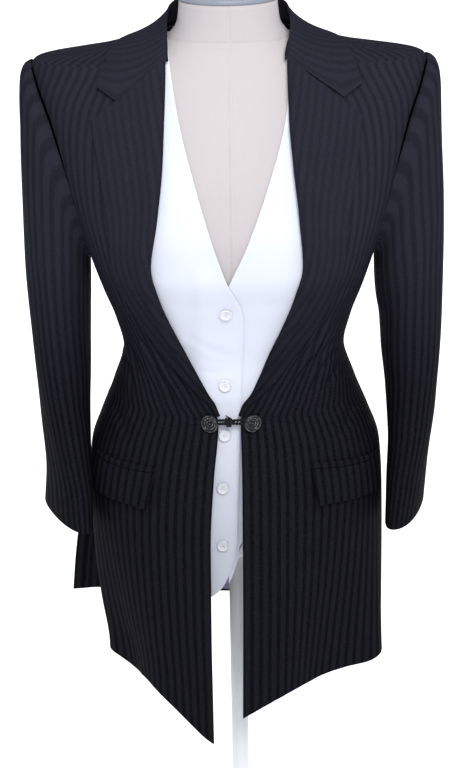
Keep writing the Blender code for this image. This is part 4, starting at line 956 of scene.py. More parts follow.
def insideSkirt(side, first, last, count):
    # the back skirt's surface moved inwards, with wrinkles from sine waves across and down
    level = np.linspace(lining["low"], lining["high"], lining["rows"])[:, None]
    share = np.linspace(first, last, count)[None, :]
    points = backBase(side, level, share)
    fade = smooth(lining["wrinkleFrom"], lining["wrinkleTo"], level)
    shift = (lining["wrinkle"] * np.sin(share * 23 + side + 2.1 * np.sin(level * 21)) * fade
             + lining["ripple"] * np.sin(share * 51 + level * 40))
    shift = coat["wall"] + lining["gap"] + np.maximum(shift, -lining["deepest"])
    return points - outward(points) * shift[..., None]


def buildLining():
    # satin over the middle of the back skirt, and the coat's cloth turned in beside each vent
    halves = []
    for side in (right, left):
        half = insideSkirt(side, 0, lining["facing"] - lining["apart"], lining["columns"])
        half[:, 0, 0] = 0
        halves.append(half)
        points = insideSkirt(side, lining["facing"], lining["reach"], lining["facingColumns"])
        share = np.linspace(lining["facing"], lining["reach"], lining["facingColumns"])
        flat = np.stack([coat["backCut"] * share + 0 * points[..., 0], arcLengths(points, 0)], -1)
        made = gridPiece(f"ventFacing{sideWord[side]}", points, "coat_cloth", flat, lining["wall"],
                         facing=np.broadcast_to((0, 1, 0), points.shape), rim=lining["rim"])
        keep(made, "coat_cloth")
        declareCloth(made, points)
    points = np.concatenate([halves[0][:, ::-1], halves[1][:, 1:]], axis=1)
    flat = np.stack([arcLengths(points, 1), arcLengths(points, 0)], -1)
    made = gridPiece("coatBackLining", points, "lining_satin", flat, lining["wall"],
                     facing=np.broadcast_to((0, 1, 0), points.shape), rim=lining["rim"])
    keep(made, "lining_satin", "coat_back_lining")
    declareCloth(made, points)


buildFronts()
buildBacks()
buildLining()
print("coat body ready")

# lapels and collar

lapel = {"wall": 0.0018, "lift": 0.0034, "lowLift": 0.0024, "swell": 0.0022, "swellShare": 0.13,
         "turn": 0.0014, "gorge": 1.3855, "notchShare": 0.70, "notch": 1.3440, "point": 1.326,
         "bottom": 0.974, "inside": 0.0045, "narrowest": 0.0015, "wave": 0.0006, "waveRate": 17,
         "room": 0.0024, "curlSteps": 9, "rows": 150, "columns": 34}
# width of the lapel from the roll line, in front view
lapelWidth = table("height width", [
    (0.978, 0.0040), (0.995, 0.0130), (1.020, 0.0240), (1.050, 0.0330), (1.080, 0.0395), (1.130, 0.0440),
    (1.190, 0.0500), (1.250, 0.0640), (1.290, 0.0740), (1.330, 0.0820),
])


def buildLapels():
    # the front's own section, lifted off it, with a roll at the inner edge that turns on a half circle
    share = spread(lapel["columns"], width=0.05)
    share = np.sort(np.append(share[np.abs(share - lapel["notchShare"]) > 0.012], lapel["notchShare"]))
    rise = spread(lapel["rows"], width=0.40)[:, None]
    top = np.interp(share, (0, lapel["notchShare"], 1), (lapel["gorge"], lapel["notch"], lapel["point"]))
    height = lapel["bottom"] + (top[None, :] - lapel["bottom"]) * rise
    for side in (right, left):
        ease = sideValue(rollEase, side, height)
        wide = np.maximum(along(lapelWidth, "width", height) - ease, lapel["narrowest"])
        x = sideValue(frontEdge, side, height) + side * (ease + wide * share)
        points = section("coat", height, angleOf("coat", height, x, side), side)
        facing = outward(points)
        plump = smooth(0.978, 1.015, height)
        lift = lapel["lowLift"] + (lapel["lift"] - lapel["lowLift"]) * plump
        lift += lapel["swell"] * plump * np.exp(-((share - lapel["swellShare"]) / lapel["swellShare"]) ** 2)
        lift -= seamDip((1 - share) * wide, 0.0005, 0.0012)
        lift += lapel["wave"] * np.sin(height * lapel["waveRate"] + side) * smooth(0.3, 1, share + 0 * height)
        points = points + facing * lift[..., None]
        points[:, 0] += (-side * lapel["turn"], lapel["turn"] / 2, 0)
        # the cloth rolls round the front's edge and runs a little way inside
        radius = (lift[:, :1] + coat["wall"] + lapel["room"]) / 2
        first = points[:, 0]
        inward = first - points[:, 1]
        inward /= np.linalg.norm(inward, axis=-1, keepdims=True)
        under = -facing[:, 0]
        middle = first + under * radius
        curl = [middle + radius * (-under * cos(turn) + inward * sin(turn))
                for turn in np.linspace(pi, pi / lapel["curlSteps"], lapel["curlSteps"])]
        tail = [curl[0] - inward * lapel["inside"] * far for far in (1.0, 0.5)]
        wrapped = np.stack(tail + curl, 1)
        points = np.concatenate([wrapped, points], 1)
        facing = np.concatenate([np.zeros_like(wrapped), facing], 1)
        across = arcLengths(points, 1)
        flat = np.stack([across[:, -1:] - across + 0.0005, arcLengths(points, 0)], -1)
        made = gridPiece(f"coatLapel{sideWord[side]}", points, "lapel_cloth", flat, lapel["wall"],
                         facing=facing, rim=coat["rim"])
        keep(made, "coat_cloth", f"coat_lapel_{nodeWord[side]}")
        declareCloth(made, points)


# the collar's half from its front end round to the centre back
collarShape = table(
    "crest_x crest_y crest_z fall_x fall_y fall_z edge_x edge_y edge_z foot_x foot_y foot_z", [
        (0.0700, -0.0630, 1.3895, 0.1285, -0.0825, 1.3490, 0.1500, -0.0730, 1.3630, 0.0655, -0.0600, 1.3880),
        (0.0690, -0.0560, 1.4000, 0.1080, -0.0700, 1.3790, 0.1440, -0.0640, 1.3770, 0.0665, -0.0500, 1.3980),
        (0.0690, -0.0340, 1.4160, 0.1000, -0.0440, 1.4020, 0.1350, -0.0370, 1.3970, 0.0700, -0.0330, 1.4110),
        (0.0690, -0.0040, 1.4290, 0.0880, -0.0060, 1.4150, 0.1240, -0.0020, 1.4035, 0.0740, -0.0060, 1.4130),
        (0.0660, 0.0240, 1.4380, 0.0810, 0.0300, 1.4190, 0.1060, 0.0370, 1.4030, 0.0715, 0.0240, 1.4130),
        (0.0530, 0.0460, 1.4440, 0.0640, 0.0570, 1.4230, 0.0820, 0.0645, 1.4000, 0.0590, 0.0460, 1.4130),
        (0.0290, 0.0610, 1.4480, 0.0350, 0.0735, 1.4260, 0.0450, 0.0800, 1.3980, 0.0320, 0.0620, 1.4130),
        (0.0000, 0.0660, 1.4490, 0.0000, 0.0780, 1.4260, 0.0000, 0.0835, 1.3970, 0.0000, 0.0665, 1.4130),
    ])
collar = {"wall": 0.0018, "crestRise": 0.0012, "notchShare": 0.70, "lean": 0.0030, "leanStart": 0.6,
          "leanEnd": 2.4, "columns": 74, "rows": 34, "standRows": 8, "rounds": 5}


def buildCollar():
    # each row of the table gives a stand, a crest and a fall, which curves over or, in front, lies straight
    step = np.sort(np.append(np.linspace(0, 7, collar["columns"]), [0.02, 0.05, 0.1]))
    knots = {"height": np.arange(8, dtype=float), **collarShape}

    def read(part):
        return np.stack([along(knots, part + axis, step) for axis in ("_x", "_y", "_z")], -1)

    crest, fall, edge, foot = read("crest"), read("fall"), read("edge"), read("foot")
    notch = collar["notchShare"]
    share = spread(collar["rows"], width=0.06, ends=(False, True))
    share = np.sort(np.append(share[np.abs(share - notch) > 0.015], notch))[1:, None, None]
    middle = 2 * fall - 0.5 * (crest + edge)
    turned = (1 - share) ** 2 * crest + 2 * share * (1 - share) * middle + share ** 2 * edge
    straight = np.where(share < notch, crest + (fall - crest) * share / notch,
                        fall + (edge - fall) * (share - notch) / (1 - notch))
    front = np.clip(1 - step, 0, 1)[None, :, None]
    turned = turned * (1 - front) + straight * front
    up = np.linspace(0, 1, collar["standRows"])[:, None, None]
    standPart = foot + (crest - foot) * up * 0.9
    top = crest[None] + (0, 0, collar["crestRise"])
    half = np.concatenate([standPart, top, turned]).transpose(1, 0, 2)
    points = np.concatenate([half * (-1, 1, 1), half[::-1][1:]])
    # the collar's front ends sit a little towards the wearer's right
    ended = smooth(collar["leanEnd"], collar["leanStart"], step)[:, None]
    held = np.ones(collar["standRows"] + 1)
    lean = collar["lean"] * ended * np.concatenate([held, smooth(notch, 0, share[:, 0, 0])])
    points[..., 0] -= np.concatenate([lean, lean[::-1][1:]])
    # the fold over the crest is rounded by averaging along each row near it
    weight = np.zeros(points.shape[1])
    weight[5:14] = 1
    weight = weight[None, :, None]
    for _ in range(collar["rounds"]):
        soft = points.copy()
        soft[:, 1:-1] = 0.25 * points[:, :-2] + 0.5 * points[:, 1:-1] + 0.25 * points[:, 2:]
        points = points * (1 - weight) + soft * weight
    run = arcLengths(points, 0)[:, 20:21] + 0 * points[..., 0]
    flat = np.stack([run, arcLengths(points, 1)], -1)
    made = gridPiece("coatCollar", points, "lapel_cloth", flat, collar["wall"], rim=coat["rim"])
    keep(made, "coat_cloth", "coat_collar")
    declareCloth(made, points)


buildLapels()
buildCollar()
print("lapels and collar ready")

# pockets

pocket = {"end": {right: {"front": 0.094, "rear": 0.1690, "frontLevel": 0.9120, "rearLevel": 0.9105},
                  left: {"front": 0.087, "rear": 0.1690, "frontLevel": 0.9150, "rearLevel": 0.9020}},
          "jet": 0.0070, "flap": 0.0500, "gap": 0.0006, "jetWall": 0.0012, "flapWall": 0.0020, "lift": 0.0017,
          "columns": 52, "jetRows": 9, "flapRows": 30, "jetRim": 0.0004, "flapRim": 0.0007,
          "taper": (0.012, -0.014), "crown": 0.0004, "belly": 0.0007, "rearFlare": 0.0010,
          "frontFlare": 0.0095, "kick": 0.0026}


def findOnFront(side, x, z):
    # share and level at which the front passes through a place in front view
    level, share = z, 0.5
    for _ in range(25):
        here = coatFront(side, level, share)
        over = (coatFront(side, level, share + 0.002) - here) / 0.002
        down = (coatFront(side, level + 0.001, share) - here) / 0.001
        system = np.array([[over[0], down[0]], [over[2], down[2]]])
        change = np.linalg.solve(system, (x - here[0], z - here[2]))
        share = float(np.clip(share + np.clip(change[0], -0.2, 0.2), 0.002, 0.998))
        level = float(level + np.clip(change[1], -0.02, 0.02))
    return level, share


def pocketStrip(side, ends, edges, count, taper, lift):
    # the front's own surface between two edges below the pocket's line, lifted off it
    front, rear = ends
    top, bottom = edges
    share = spread(pocket["columns"], width=0.1)[None, :]
    down = spread(count, width=0.05)[:, None]
    below = top + (bottom - top) * down
    drawn = (taper[0] * (1 - share) ** 6 + taper[1] * share ** 6) * down
    place = front[1] + (rear[1] - front[1]) * share + drawn
    level = front[0] + (rear[0] - front[0]) * share - below
    flat = np.stack([frontStripes(side, level, place), -below + 0 * place], -1)
    return coatFront(side, level, place, lift), flat, share, down


def buildPockets():
    for side in (right, left):
        end = pocket["end"][side]
        ends = (findOnFront(side, side * end["front"], end["frontLevel"]),
                findOnFront(side, side * end["rear"], end["rearLevel"]))
        points, flat, share, down = pocketStrip(side, ends, (0, pocket["jet"]), pocket["jetRows"], (0, 0),
                                                pocket["lift"] + pocket["jetWall"])
        facing = outward(points)
        points = points + facing * (pocket["crown"] * (np.sin(pi * down) - 0.5))[..., None]
        made = gridPiece(f"pocketJet{sideWord[side]}", points, "coat_cloth", flat, pocket["jetWall"],
                         facing=facing, rim=pocket["jetRim"])
        keep(made, "coat_cloth", f"pocket_jet_{nodeWord[side]}")
        declareCloth(made, points, layers=2)

        edges = (pocket["jet"] + pocket["gap"], pocket["flap"])
        points, flat, share, down = pocketStrip(side, ends, edges, pocket["flapRows"], pocket["taper"],
                                                pocket["lift"] + pocket["flapWall"])
        facing = outward(points)
        # the flap bellies out, and its lower edge and front corner stand off the skirt
        out = (pocket["belly"] * np.sin(pi * share) * down + pocket["rearFlare"] * share ** 8 * down
               + pocket["frontFlare"] * (1 - share) ** 8 * down ** 1.2 + pocket["kick"] * down ** 1.5)
        out = out - seamDip((1 - down) * 0.043, 0.0004, 0.0012) - 0.0007 * smooth(0.05, 0.0, down)
        points = points + facing * out[..., None]
        made = gridPiece(f"pocketFlap{sideWord[side]}", points, "coat_cloth", flat, pocket["flapWall"],
                         facing=facing, rim=pocket["flapRim"])
        keep(made, "coat_cloth", f"pocket_flap_{nodeWord[side]}")
        declareCloth(made, points)


buildPockets()
print("pockets ready")

# buttons, shared by the coat and the waistcoat

linkButton = {"radius": 0.0110, "thick": 0.0040, "shank": 0.0048, "hole": 0.0011, "spread": 0.0024,
              "proud": 0.0006, "rings": 34, "steps": 72}
waistcoatButton = {"radius": 0.0075, "thick": 0.0026, "shank": 0.0010, "hole": 0.0008, "spread": 0.0017,
                   "proud": 0.0006, "rings": 18, "steps": 40}
cuffButton = {"radius": 0.0070, "thick": 0.0028, "shank": 0.0010, "hole": 0.0008, "spread": 0.0016,
              "proud": 0.0006, "rings": 18, "steps": 40}


def buttonPiece(name, size, place, direction, slot, cadNode):
    # a polar surface: a dished middle with four holes, a round rim, the back, and a thread shank
    radius, thick, shank = size["radius"], size["thick"], size["shank"]
    inner = np.linspace(0.02, 0.66, size["rings"])
    shape = [(r, 0.60 - 0.10 * (1 - (r / 0.66) ** 2)) for r in inner]
    shape += [(0.70, 0.63), (0.74, 0.78), (0.79, 0.92), (0.86, 1.0), (0.93, 0.93), (0.98, 0.74), (1.0, 0.52),
              (0.98, 0.30), (0.92, 0.12), (0.84, 0.03), (0.70, 0.0)]
    rows = [(radius * r, shank + thick * h) for r, h in shape]
    rows += [(radius * 0.13, shank), (radius * 0.10, shank * 0.5), (radius * 0.12, 0.0), (radius * 0.02, 0.0)]
    rows = np.array(rows)
    angles = np.linspace(0, 2 * pi, size["steps"], endpoint=False)
    x, y = rows[:, :1] * np.cos(angles), rows[:, :1] * np.sin(angles)
    z = np.broadcast_to(rows[:, 1:], x.shape).copy()
    hole = np.zeros_like(x)
    for turn in (45, 135, 225, 315):
        far = np.hypot(x - size["spread"] * cos(radians(turn)), y - size["spread"] * sin(radians(turn)))
        hole = np.maximum(hole, smooth(size["hole"] * 1.15, size["hole"] * 0.72, far))
    hole[size["rings"]:] = 0
    z -= hole * thick * 0.48
    points = np.stack([x, y, z], -1)
    spin = np.array(Vector(direction).to_track_quat("Z", "Y").to_matrix())
    centre = np.array([0, 0, shank + thick * 0.4])
    facing = (points - centre) @ spin.T
    flat = np.stack([x, y], -1)
    made = gridPiece(name, points @ spin.T + np.array(place), slot, flat, loop=True, facing=facing)
    keep(made, slot, cadNode)
    return spin


def threadPiece(name, size, place, spin, slot, thick=0.00033, around=8):
    # two short bars of thread over the holes
    ring = np.linspace(0, 2 * pi, around, endpoint=False)
    reach = size["spread"] * 0.7071
    t = np.linspace(-1, 1, 9)
    bars, faces = [], []
    for side in (-1, 1):
        height = size["shank"] + size["thick"] * (0.57 - 0.22 * t ** 8)
        middle = np.stack([reach * t, np.full_like(t, side * reach), height], -1)
        tube = middle[:, None] + thick * np.stack([0 * ring, np.cos(ring), np.sin(ring)], -1)[None]
        index = np.arange(len(t) * around).reshape(-1, around) + len(t) * around * len(bars)
        faces.append(gridFaces(np.concatenate([index, index[:, :1]], 1)))
        bars.append((tube @ spin.T + np.array(place)).reshape(-1, 3))
    keep(meshPiece(name, np.concatenate(bars), np.concatenate(faces), slot), slot)


# the waistcoat

waistcoatEdge = table("height over under", [
    (0.740, 0.0010, -0.0110), (0.823, 0.0010, -0.0110), (0.900, 0.0040, -0.0140), (1.000, 0.0080, -0.0180),
    (1.090, 0.0115, -0.0200), (1.112, 0.0095, -0.0180), (1.128, 0.0030, -0.0120), (1.146, -0.0060, -0.0040),
    (1.192, -0.0220, 0.0170), (1.257, -0.0410, 0.0420), (1.320, -0.0570, 0.0610), (1.360, -0.0640, 0.0670),
    (1.399, -0.0690, 0.0690),
])
# level of the waistcoat's hem by the distance from its front corner
waistcoatHem = table("height level", [
    (0.000, 0.812), (0.003, 0.792), (0.008, 0.771), (0.014, 0.753), (0.022, 0.738), (0.034, 0.727),
    (0.056, 0.720), (0.100, 0.737), (0.150, 0.768), (0.180, 0.780),
])
waistcoat = {"wall": 0.0015, "ease": 0.0023, "gap": 0.0003, "join": 0.865, "top": 1.397,
             "corner": {"over": 0.0010, "under": 0.0060}, "backHem": 0.800, "lapEdge": -0.0340,
             "lapRise": 0.0200, "lapTop": (1.172, 1.150), "buttonInset": 0.0205,
             "hole": {"bottom": 1.120, "top": 1.375, "reach": radians(38)},
             "buttonHeights": (1.104, 1.009, 0.948, 0.879, 0.802), "seam": 0.00022 / 0.12, "rim": 0.0005,
             "rows": 84, "holeRows": 66, "topRows": 10, "columns": 52, "crowd": 1.08, "backColumns": 32,
             "proud": 0.00035, "proudWidth": 0.0022}
stitch = {"inset": 0.0055, "pitch": 0.0032, "length": 0.0019, "radius": 0.00022}


def waistcoatFront(side, lap, levels, share):
    # the form's section from the front edge to the side seam, with the hem's level found in a few rounds
    hole = waistcoat["hole"]
    lowest = waistcoatHem["level"].min()
    height = levels[:, None] + 0 * share[None, :]
    for _ in range(5):
        edge = angleOf("form", height, along(waistcoatEdge, lap, height), side)
        seam = np.full_like(height, pi / 2 - waistcoat["seam"])
        armhole = pi / 2 - armholeCut(height, hole["bottom"], hole["top"], hole["reach"])
        end = np.where((height > hole["bottom"]) & (height < hole["top"]), armhole, seam)
        points = section("form", height, edge + (end - edge) * share, side)
        hem = along(waistcoatHem, "level", np.abs(points[..., 0] - waistcoat["corner"][lap]))
        ramp = np.clip((waistcoat["join"] - levels) / (waistcoat["join"] - lowest), 0, 1)[:, None]
        height = levels[:, None] + (hem - lowest) * ramp
    facing = outward(points)
    out = np.full_like(height, waistcoat["ease"] + waistcoat["wall"])
    if lap == "over":
        rise = smooth(waistcoat["lapEdge"] - waistcoat["lapRise"], waistcoat["lapEdge"], points[..., 0])
        out += (waistcoat["wall"] + 4 * waistcoat["gap"]) * rise * smooth(*waistcoat["lapTop"], height)
    return points, facing, out


waistcoatCreases = [
    (0.0009, 0.0040, [(-0.060, 1.075), (-0.020, 1.052), (0.004, 1.048)]),
    (0.0008, 0.0035, [(-0.055, 1.030), (-0.025, 1.022), (0.002, 1.026)]),
    (0.0008, 0.0040, [(-0.050, 0.985), (-0.022, 0.978), (0.000, 0.984)]),
    (0.0007, 0.0040, [(-0.030, 0.930), (-0.010, 0.915), (-0.004, 0.900)]),
]


def waistcoatLevels(low):
    hole = waistcoat["hole"]
    return np.sort(np.concatenate([
        low + pressed, np.linspace(low, hole["bottom"] - 0.008, waistcoat["rows"]), [1.115, 1.1175, 1.119],
        armholeRows(hole["bottom"], hole["top"], waistcoat["holeRows"]),
        np.linspace(hole["top"], waistcoat["top"], waistcoat["topRows"])[1:]]))


def buildStitches(side, points, facing):
    # a row of small stitches, each a bead with six corners, beside the front edge and along the neck
    run = arcLengths(points, 1)
    down = arcLengths(points, 0)[4:-1, 2]
    line = np.array([[np.interp(stitch["inset"], run[k], points[k, :, axis]) for axis in range(3)]
                     for k in range(4, len(points) - 1)])

    def read(values, at):
        return np.stack([np.interp(at, down, values[:, axis]) for axis in range(3)], -1)

    starts = np.arange(down[0] + 0.002, down[-1] - 0.002, stitch["pitch"])
    first, last = read(line, starts), read(line, starts + stitch["length"])
    normal = read(facing[4:-1, 4], starts)
    normal /= np.linalg.norm(normal, axis=1, keepdims=True)
    way = (last - first) / np.linalg.norm(last - first, axis=1, keepdims=True)
    cross = np.cross(way, normal)
    r = stitch["radius"]
    middle = (first + last) / 2 + normal * r
    corners = [first - normal * r * 0.6, last - normal * r * 0.6, middle + cross * r * 1.1,
               middle + normal * r * 0.5, middle - cross * r * 1.1, middle - normal * r * 1.4]
    points = np.stack(corners, 1).reshape(-1, 3)
    fan = np.array([(0, 2, 3), (0, 3, 4), (0, 4, 5), (0, 5, 2), (1, 3, 2), (1, 4, 3), (1, 5, 4), (1, 2, 5)])
    faces = (np.arange(len(starts))[:, None, None] * 6 + fan[None]).reshape(-1, 3)
    sewn = meshPiece(f"waistcoatStitches{sideWord[side]}", points, faces, "waistcoat_cloth", smoothed=False)
    sewn.data.uv_layers.new(name="flat")
    keep(sewn, "waistcoat_cloth")


def buildWaistcoatFronts():
    place = {}
    levels = waistcoatLevels(waistcoatHem["level"].min())
    share = spread(waistcoat["columns"], width=0.16) ** waistcoat["crowd"]
    for side, lap in ((right, "over"), (left, "under")):
        points, facing, out = waistcoatFront(side, lap, levels, share)
        run = arcLengths(points, 1)
        out = out - seamDip(run, 0.0004, 0.0010) - seamDip(run[:, -1:] - run, 0.0005, 0.0011)
        # the pressed edge stands a little proud outside its line of stitches
        out = out + waistcoat["proud"] * np.exp(-((run - stitch["inset"] / 2) / waistcoat["proudWidth"]) ** 2)
        if lap == "over":
            out = out + creaseField(points, waistcoatCreases)
        points = points + facing * out[..., None]
        flat = np.stack([arcLengths(points, 1), arcLengths(points, 0)], -1)
        made = gridPiece(f"waistcoatFront{sideWord[side]}", points, "waistcoat_cloth", flat,
                         waistcoat["wall"], facing=facing, rim=waistcoat["rim"])
        keep(made, "waistcoat_cloth", f"waistcoat_front_{nodeWord[side]}")
        declareCloth(made, points)
        buildStitches(side, points, facing)
        place[lap] = (points, facing)
    return place["over"]


def buildWaistcoatBack():
    hole = waistcoat["hole"]
    levels = waistcoatLevels(waistcoat["backHem"])
    half = spread(waistcoat["backColumns"], width=0.2, ends=(False, True))
    share = np.concatenate([-half[::-1], half[1:]])
    height = levels[:, None] + 0 * share[None, :]
    armhole = pi / 2 + armholeCut(height, hole["bottom"], hole["top"], hole["reach"])
    seam = np.full_like(height, pi / 2 + waistcoat["seam"])
    start = np.where((height > hole["bottom"]) & (height < hole["top"]), armhole, seam)
    points = section("form", height, pi - (pi - start) * np.abs(share))
    points[..., 0] *= np.where(share < 0, -1, 1)
    facing = outward(points)
    run = arcLengths(points, 1)
    out = (waistcoat["ease"] + waistcoat["wall"] - seamDip(run, 0.0005, 0.0011)
           - seamDip(run[:, -1:] - run, 0.0005, 0.0011) - seamDip(np.abs(points[..., 0]), 0.0005, 0.0012))
    points = points + facing * out[..., None]
    flat = np.stack([run, arcLengths(points, 0)], -1)
    made = gridPiece("waistcoatBack", points, "waistcoat_cloth", flat, waistcoat["wall"], facing=facing,
                     rim=waistcoat["rim"])
    keep(made, "waistcoat_cloth", "waistcoat_back")
    declareCloth(made, points)


def buildWaistcoatButtons(points, facing):
    for number, level in enumerate(waistcoat["buttonHeights"], 1):
        x = float(along(waistcoatEdge, "over", level)) - waistcoat["buttonInset"]
        nearest = np.argmin(np.hypot(points[..., 0] - x, points[..., 2] - level) + (points[..., 1] > 0))
        spot, direction = points.reshape(-1, 3)[nearest], facing.reshape(-1, 3)[nearest]
        spot = spot + direction * waistcoatButton["proud"]
        spin = buttonPiece(f"waistcoatButton{number}", waistcoatButton, spot, direction, "white_button",
                           f"waistcoat_button_{number}")
        threadPiece(f"waistcoatThread{number}", waistcoatButton, spot, spin, "white_button")


overlap = buildWaistcoatFronts()
buildWaistcoatBack()
buildWaistcoatButtons(*overlap)
print("waistcoat ready")

# sleeves

# rings from the armhole to the cuff; rise is half of a ring's fall from its outer to its inner side
sleeveRings = table("step middle wide level rise centre depth turn_right turn_left lean_right lean_left", [
    (0.00, 0.1990, 0.0305, 1.2610, 0.1170, 0.002, 0.059, 0.0, 0.0, 0.000, 0.000),
    (0.05, 0.2050, 0.0340, 1.2565, 0.1180, 0.003, 0.062, 0.0, 0.0, 0.000, 0.000),
    (0.10, 0.2070, 0.0362, 1.2440, 0.1180, 0.004, 0.063, 0.0, 0.0, 0.000, 0.000),
    (0.18, 0.2085, 0.0370, 1.2210, 0.1140, 0.004, 0.063, 0.0, 0.0, 0.000, 0.000),
    (0.28, 0.2100, 0.0374, 1.1830, 0.1000, 0.004, 0.062, 0.0, 0.0, 0.000, 0.001),
    (0.39, 0.2120, 0.0372, 1.1350, 0.0780, 0.003, 0.061, 0.0, 0.0, -0.001, 0.003),
    (0.50, 0.2127, 0.0368, 1.0760, 0.0530, 0.000, 0.060, 2.0, 2.0, -0.001, 0.004),
    (0.62, 0.2127, 0.0338, 1.0050, 0.0300, -0.009, 0.060, 6.0, 5.0, -0.002, 0.006),
    (0.75, 0.2115, 0.0290, 0.9360, 0.0150, -0.024, 0.061, 12.0, 9.0, -0.003, 0.006),
    (0.88, 0.2090, 0.0245, 0.8730, 0.0090, -0.036, 0.063, 18.0, 12.0, -0.003, 0.003),
    (1.00, 0.2080, 0.0210, 0.8180, 0.0050, -0.043, 0.064, 23.0, 15.0, 0.001, 0.001),
])
sleeve = {"square": 2.2, "frontSeam": radians(-50), "backSeam": radians(212), "seam": 0.004,
          "clearance": 0.0012, "rowCurve": 1.25, "girth": 0.27, "topGrid": (138, 70), "underGrid": (96, 28),
          "head": 0.10, "headEase": 0.0011, "headSeam": 0.0009, "buttonShare": 9.5 / 11,
          "buttonHeights": (0.8740, 0.8530, 0.8320)}
# long soft dents of the sleeves: step down the sleeve, turn in degrees, depth, half length in steps,
# half width in degrees, and slant
sleeveDents = {
    right: [(0.16, 40, 0.0018, 0.10, 13, 40), (0.26, 78, 0.0020, 0.16, 12, -60),
            (0.50, 20, 0.0016, 0.06, 40, 0), (0.58, 150, 0.0016, 0.07, 26, 90),
            (0.66, 320, 0.0016, 0.05, 30, 60), (0.80, 70, 0.0012, 0.10, 16, -40)],
    left: [(0.15, 52, 0.0020, 0.08, 14, 50), (0.25, 20, 0.0016, 0.12, 14, -50),
           (0.46, 28, 0.0017, 0.06, 36, 20), (0.56, 130, 0.0016, 0.07, 26, -90),
           (0.64, 335, 0.0014, 0.05, 30, 50), (0.78, 90, 0.0012, 0.11, 15, 40)],
}


def sleeveRing(side, step, turn):
    # a squarish ring on each row of the table, which passes over into the edge of the armhole at its top
    a = np.sign(np.sin(turn)) * np.abs(np.sin(turn)) ** (2 / sleeve["square"])
    b = np.sign(np.cos(turn)) * np.abs(np.cos(turn)) ** (2 / sleeve["square"])

    def read(column):
        return along(sleeveRings, column, step, "step")

    wide, deep = read("wide") * a, -read("depth") * b
    twist = np.radians(read("turn_" + nodeWord[side]))
    x = read("middle") + read("lean_" + nodeWord[side]) + wide * np.cos(twist) + deep * np.sin(twist)
    y = read("centre") - wide * np.sin(twist) + deep * np.cos(twist)
    free = np.stack([side * x, y, read("level") + read("rise") * a], -1)
    middle = (coat["armholeTop"] + coat["armholeBottom"]) / 2
    half = (coat["armholeTop"] - coat["armholeBottom"]) / 2
    edge = section("coat", middle + half * a, pi / 2 - coat["armholeReach"] * b, side)
    edge = edge + (side * sleeve["clearance"], 0, 0)
    blend = np.clip(1 - step / sleeve["head"], 0, 1)[..., None] ** 2
    return free * (1 - blend) + edge * blend


def sleevePanel(side, start, end, rows, columns):
    step = spread(rows, width=0.5) ** sleeve["rowCurve"]
    share = spread(columns, width=0.2 * (end - start) / 4.6)
    step, turn = np.meshgrid(step, start + (end - start) * share, indexing="ij")
    points = sleeveRing(side, step, turn)
    facing = outward(points)
    degrees = np.degrees(turn)
    shift = np.zeros_like(step)
    for at, angle, depth, length, width, slant in sleeveDents[side]:
        for whole in (-360, 0, 360):
            away = degrees + whole - angle - slant * (step - at)
            trough = np.exp(-(away / width) ** 2) - 0.45 * np.exp(-((away - 1.8 * width) / width) ** 2)
            shift -= depth * trough * np.exp(-((step - at) / length) ** 2)
    # the sleeve's head is eased into the armhole, and its seams lie in a shallow groove
    shift += sleeve["headEase"] * np.exp(-((step - 0.022) / 0.016) ** 2) * smooth(-0.2, 0.5, np.sin(turn))
    run = arcLengths(points, 1)
    shift -= seamDip(run) + seamDip(run[:, -1:] - run) + sleeve["headSeam"] * np.exp(-(step / 0.004) ** 2)
    points = points + facing * shift[..., None]
    flat = np.stack([turn / (2 * pi) * sleeve["girth"], arcLengths(points, 0)], -1)
    return points, facing, flat


def buildSleeves():
    seam = sleeve["seam"]
    front, back = sleeve["frontSeam"], sleeve["backSeam"]
    for side in (right, left):
        word = sideWord[side]
        top = sleevePanel(side, front + seam, back - seam, *sleeve["topGrid"])
        under = sleevePanel(side, back + seam, front + 2 * pi - seam, *sleeve["underGrid"])
        panels = (("sleeveTop", "sleeve_top", top), ("sleeveUnder", "sleeve_under", under))
        for name, cadNode, (points, facing, flat) in panels:
            made = gridPiece(name + word, points, "coat_cloth", flat, coat["wall"], facing=facing,
                             rim=coat["rim"])
            keep(made, "coat_cloth", f"{cadNode}_{nodeWord[side]}")
            declareCloth(made, points)
        points, facing, _ = top
        column = int(round(sleeve["buttonShare"] * (points.shape[1] - 1)))
        for number, level in enumerate(sleeve["buttonHeights"], 1):
            row = int(np.argmin(np.abs(points[:, column, 2] - level)))
            spot, direction = points[row, column], facing[row, column]
            spot = spot + direction * cuffButton["proud"]
            spin = buttonPiece(f"cuffButton{word}{number}", cuffButton, spot, direction, "black_button",
                               f"cuff_button_{nodeWord[side]}_{number}")
            threadPiece(f"cuffThread{word}{number}", cuffButton, spot, spin, "link_cord")


buildSleeves()
print("sleeves ready")

# the link

link = {"place": {right: -0.0272, left: 0.0176}, "tip": (0.42, 0.0, -0.20), "meet": -0.0083,
        "overlap": 0.0040, "strand": 0.00115, "wind": 0.00095, "loopRise": 0.0021, "twists": 9,
        "loopSteps": 160}
knot = {"turns": 2.2, "radius": 0.0046, "length": 0.0070, "rise": 0.0004, "thick": 0.0014375, "steps": 90,
        "stub": (-0.0070, -0.0015, 0.0062), "stubSteps": 16}


def acrossPath(ahead, away):
    # two directions square to a path, from its own direction and any other one
    ahead = ahead / np.linalg.norm(ahead, axis=1, keepdims=True)
    aside = np.cross(ahead, away)
    aside /= np.linalg.norm(aside, axis=1, keepdims=True)
    return aside, np.cross(aside, ahead)


def tubeRound(path, aside, over, radius, ring):
    circle = np.cos(ring)[:, None] * aside[:, None] + np.sin(ring)[:, None] * over[:, None]
    return path[:, None] + radius * circle


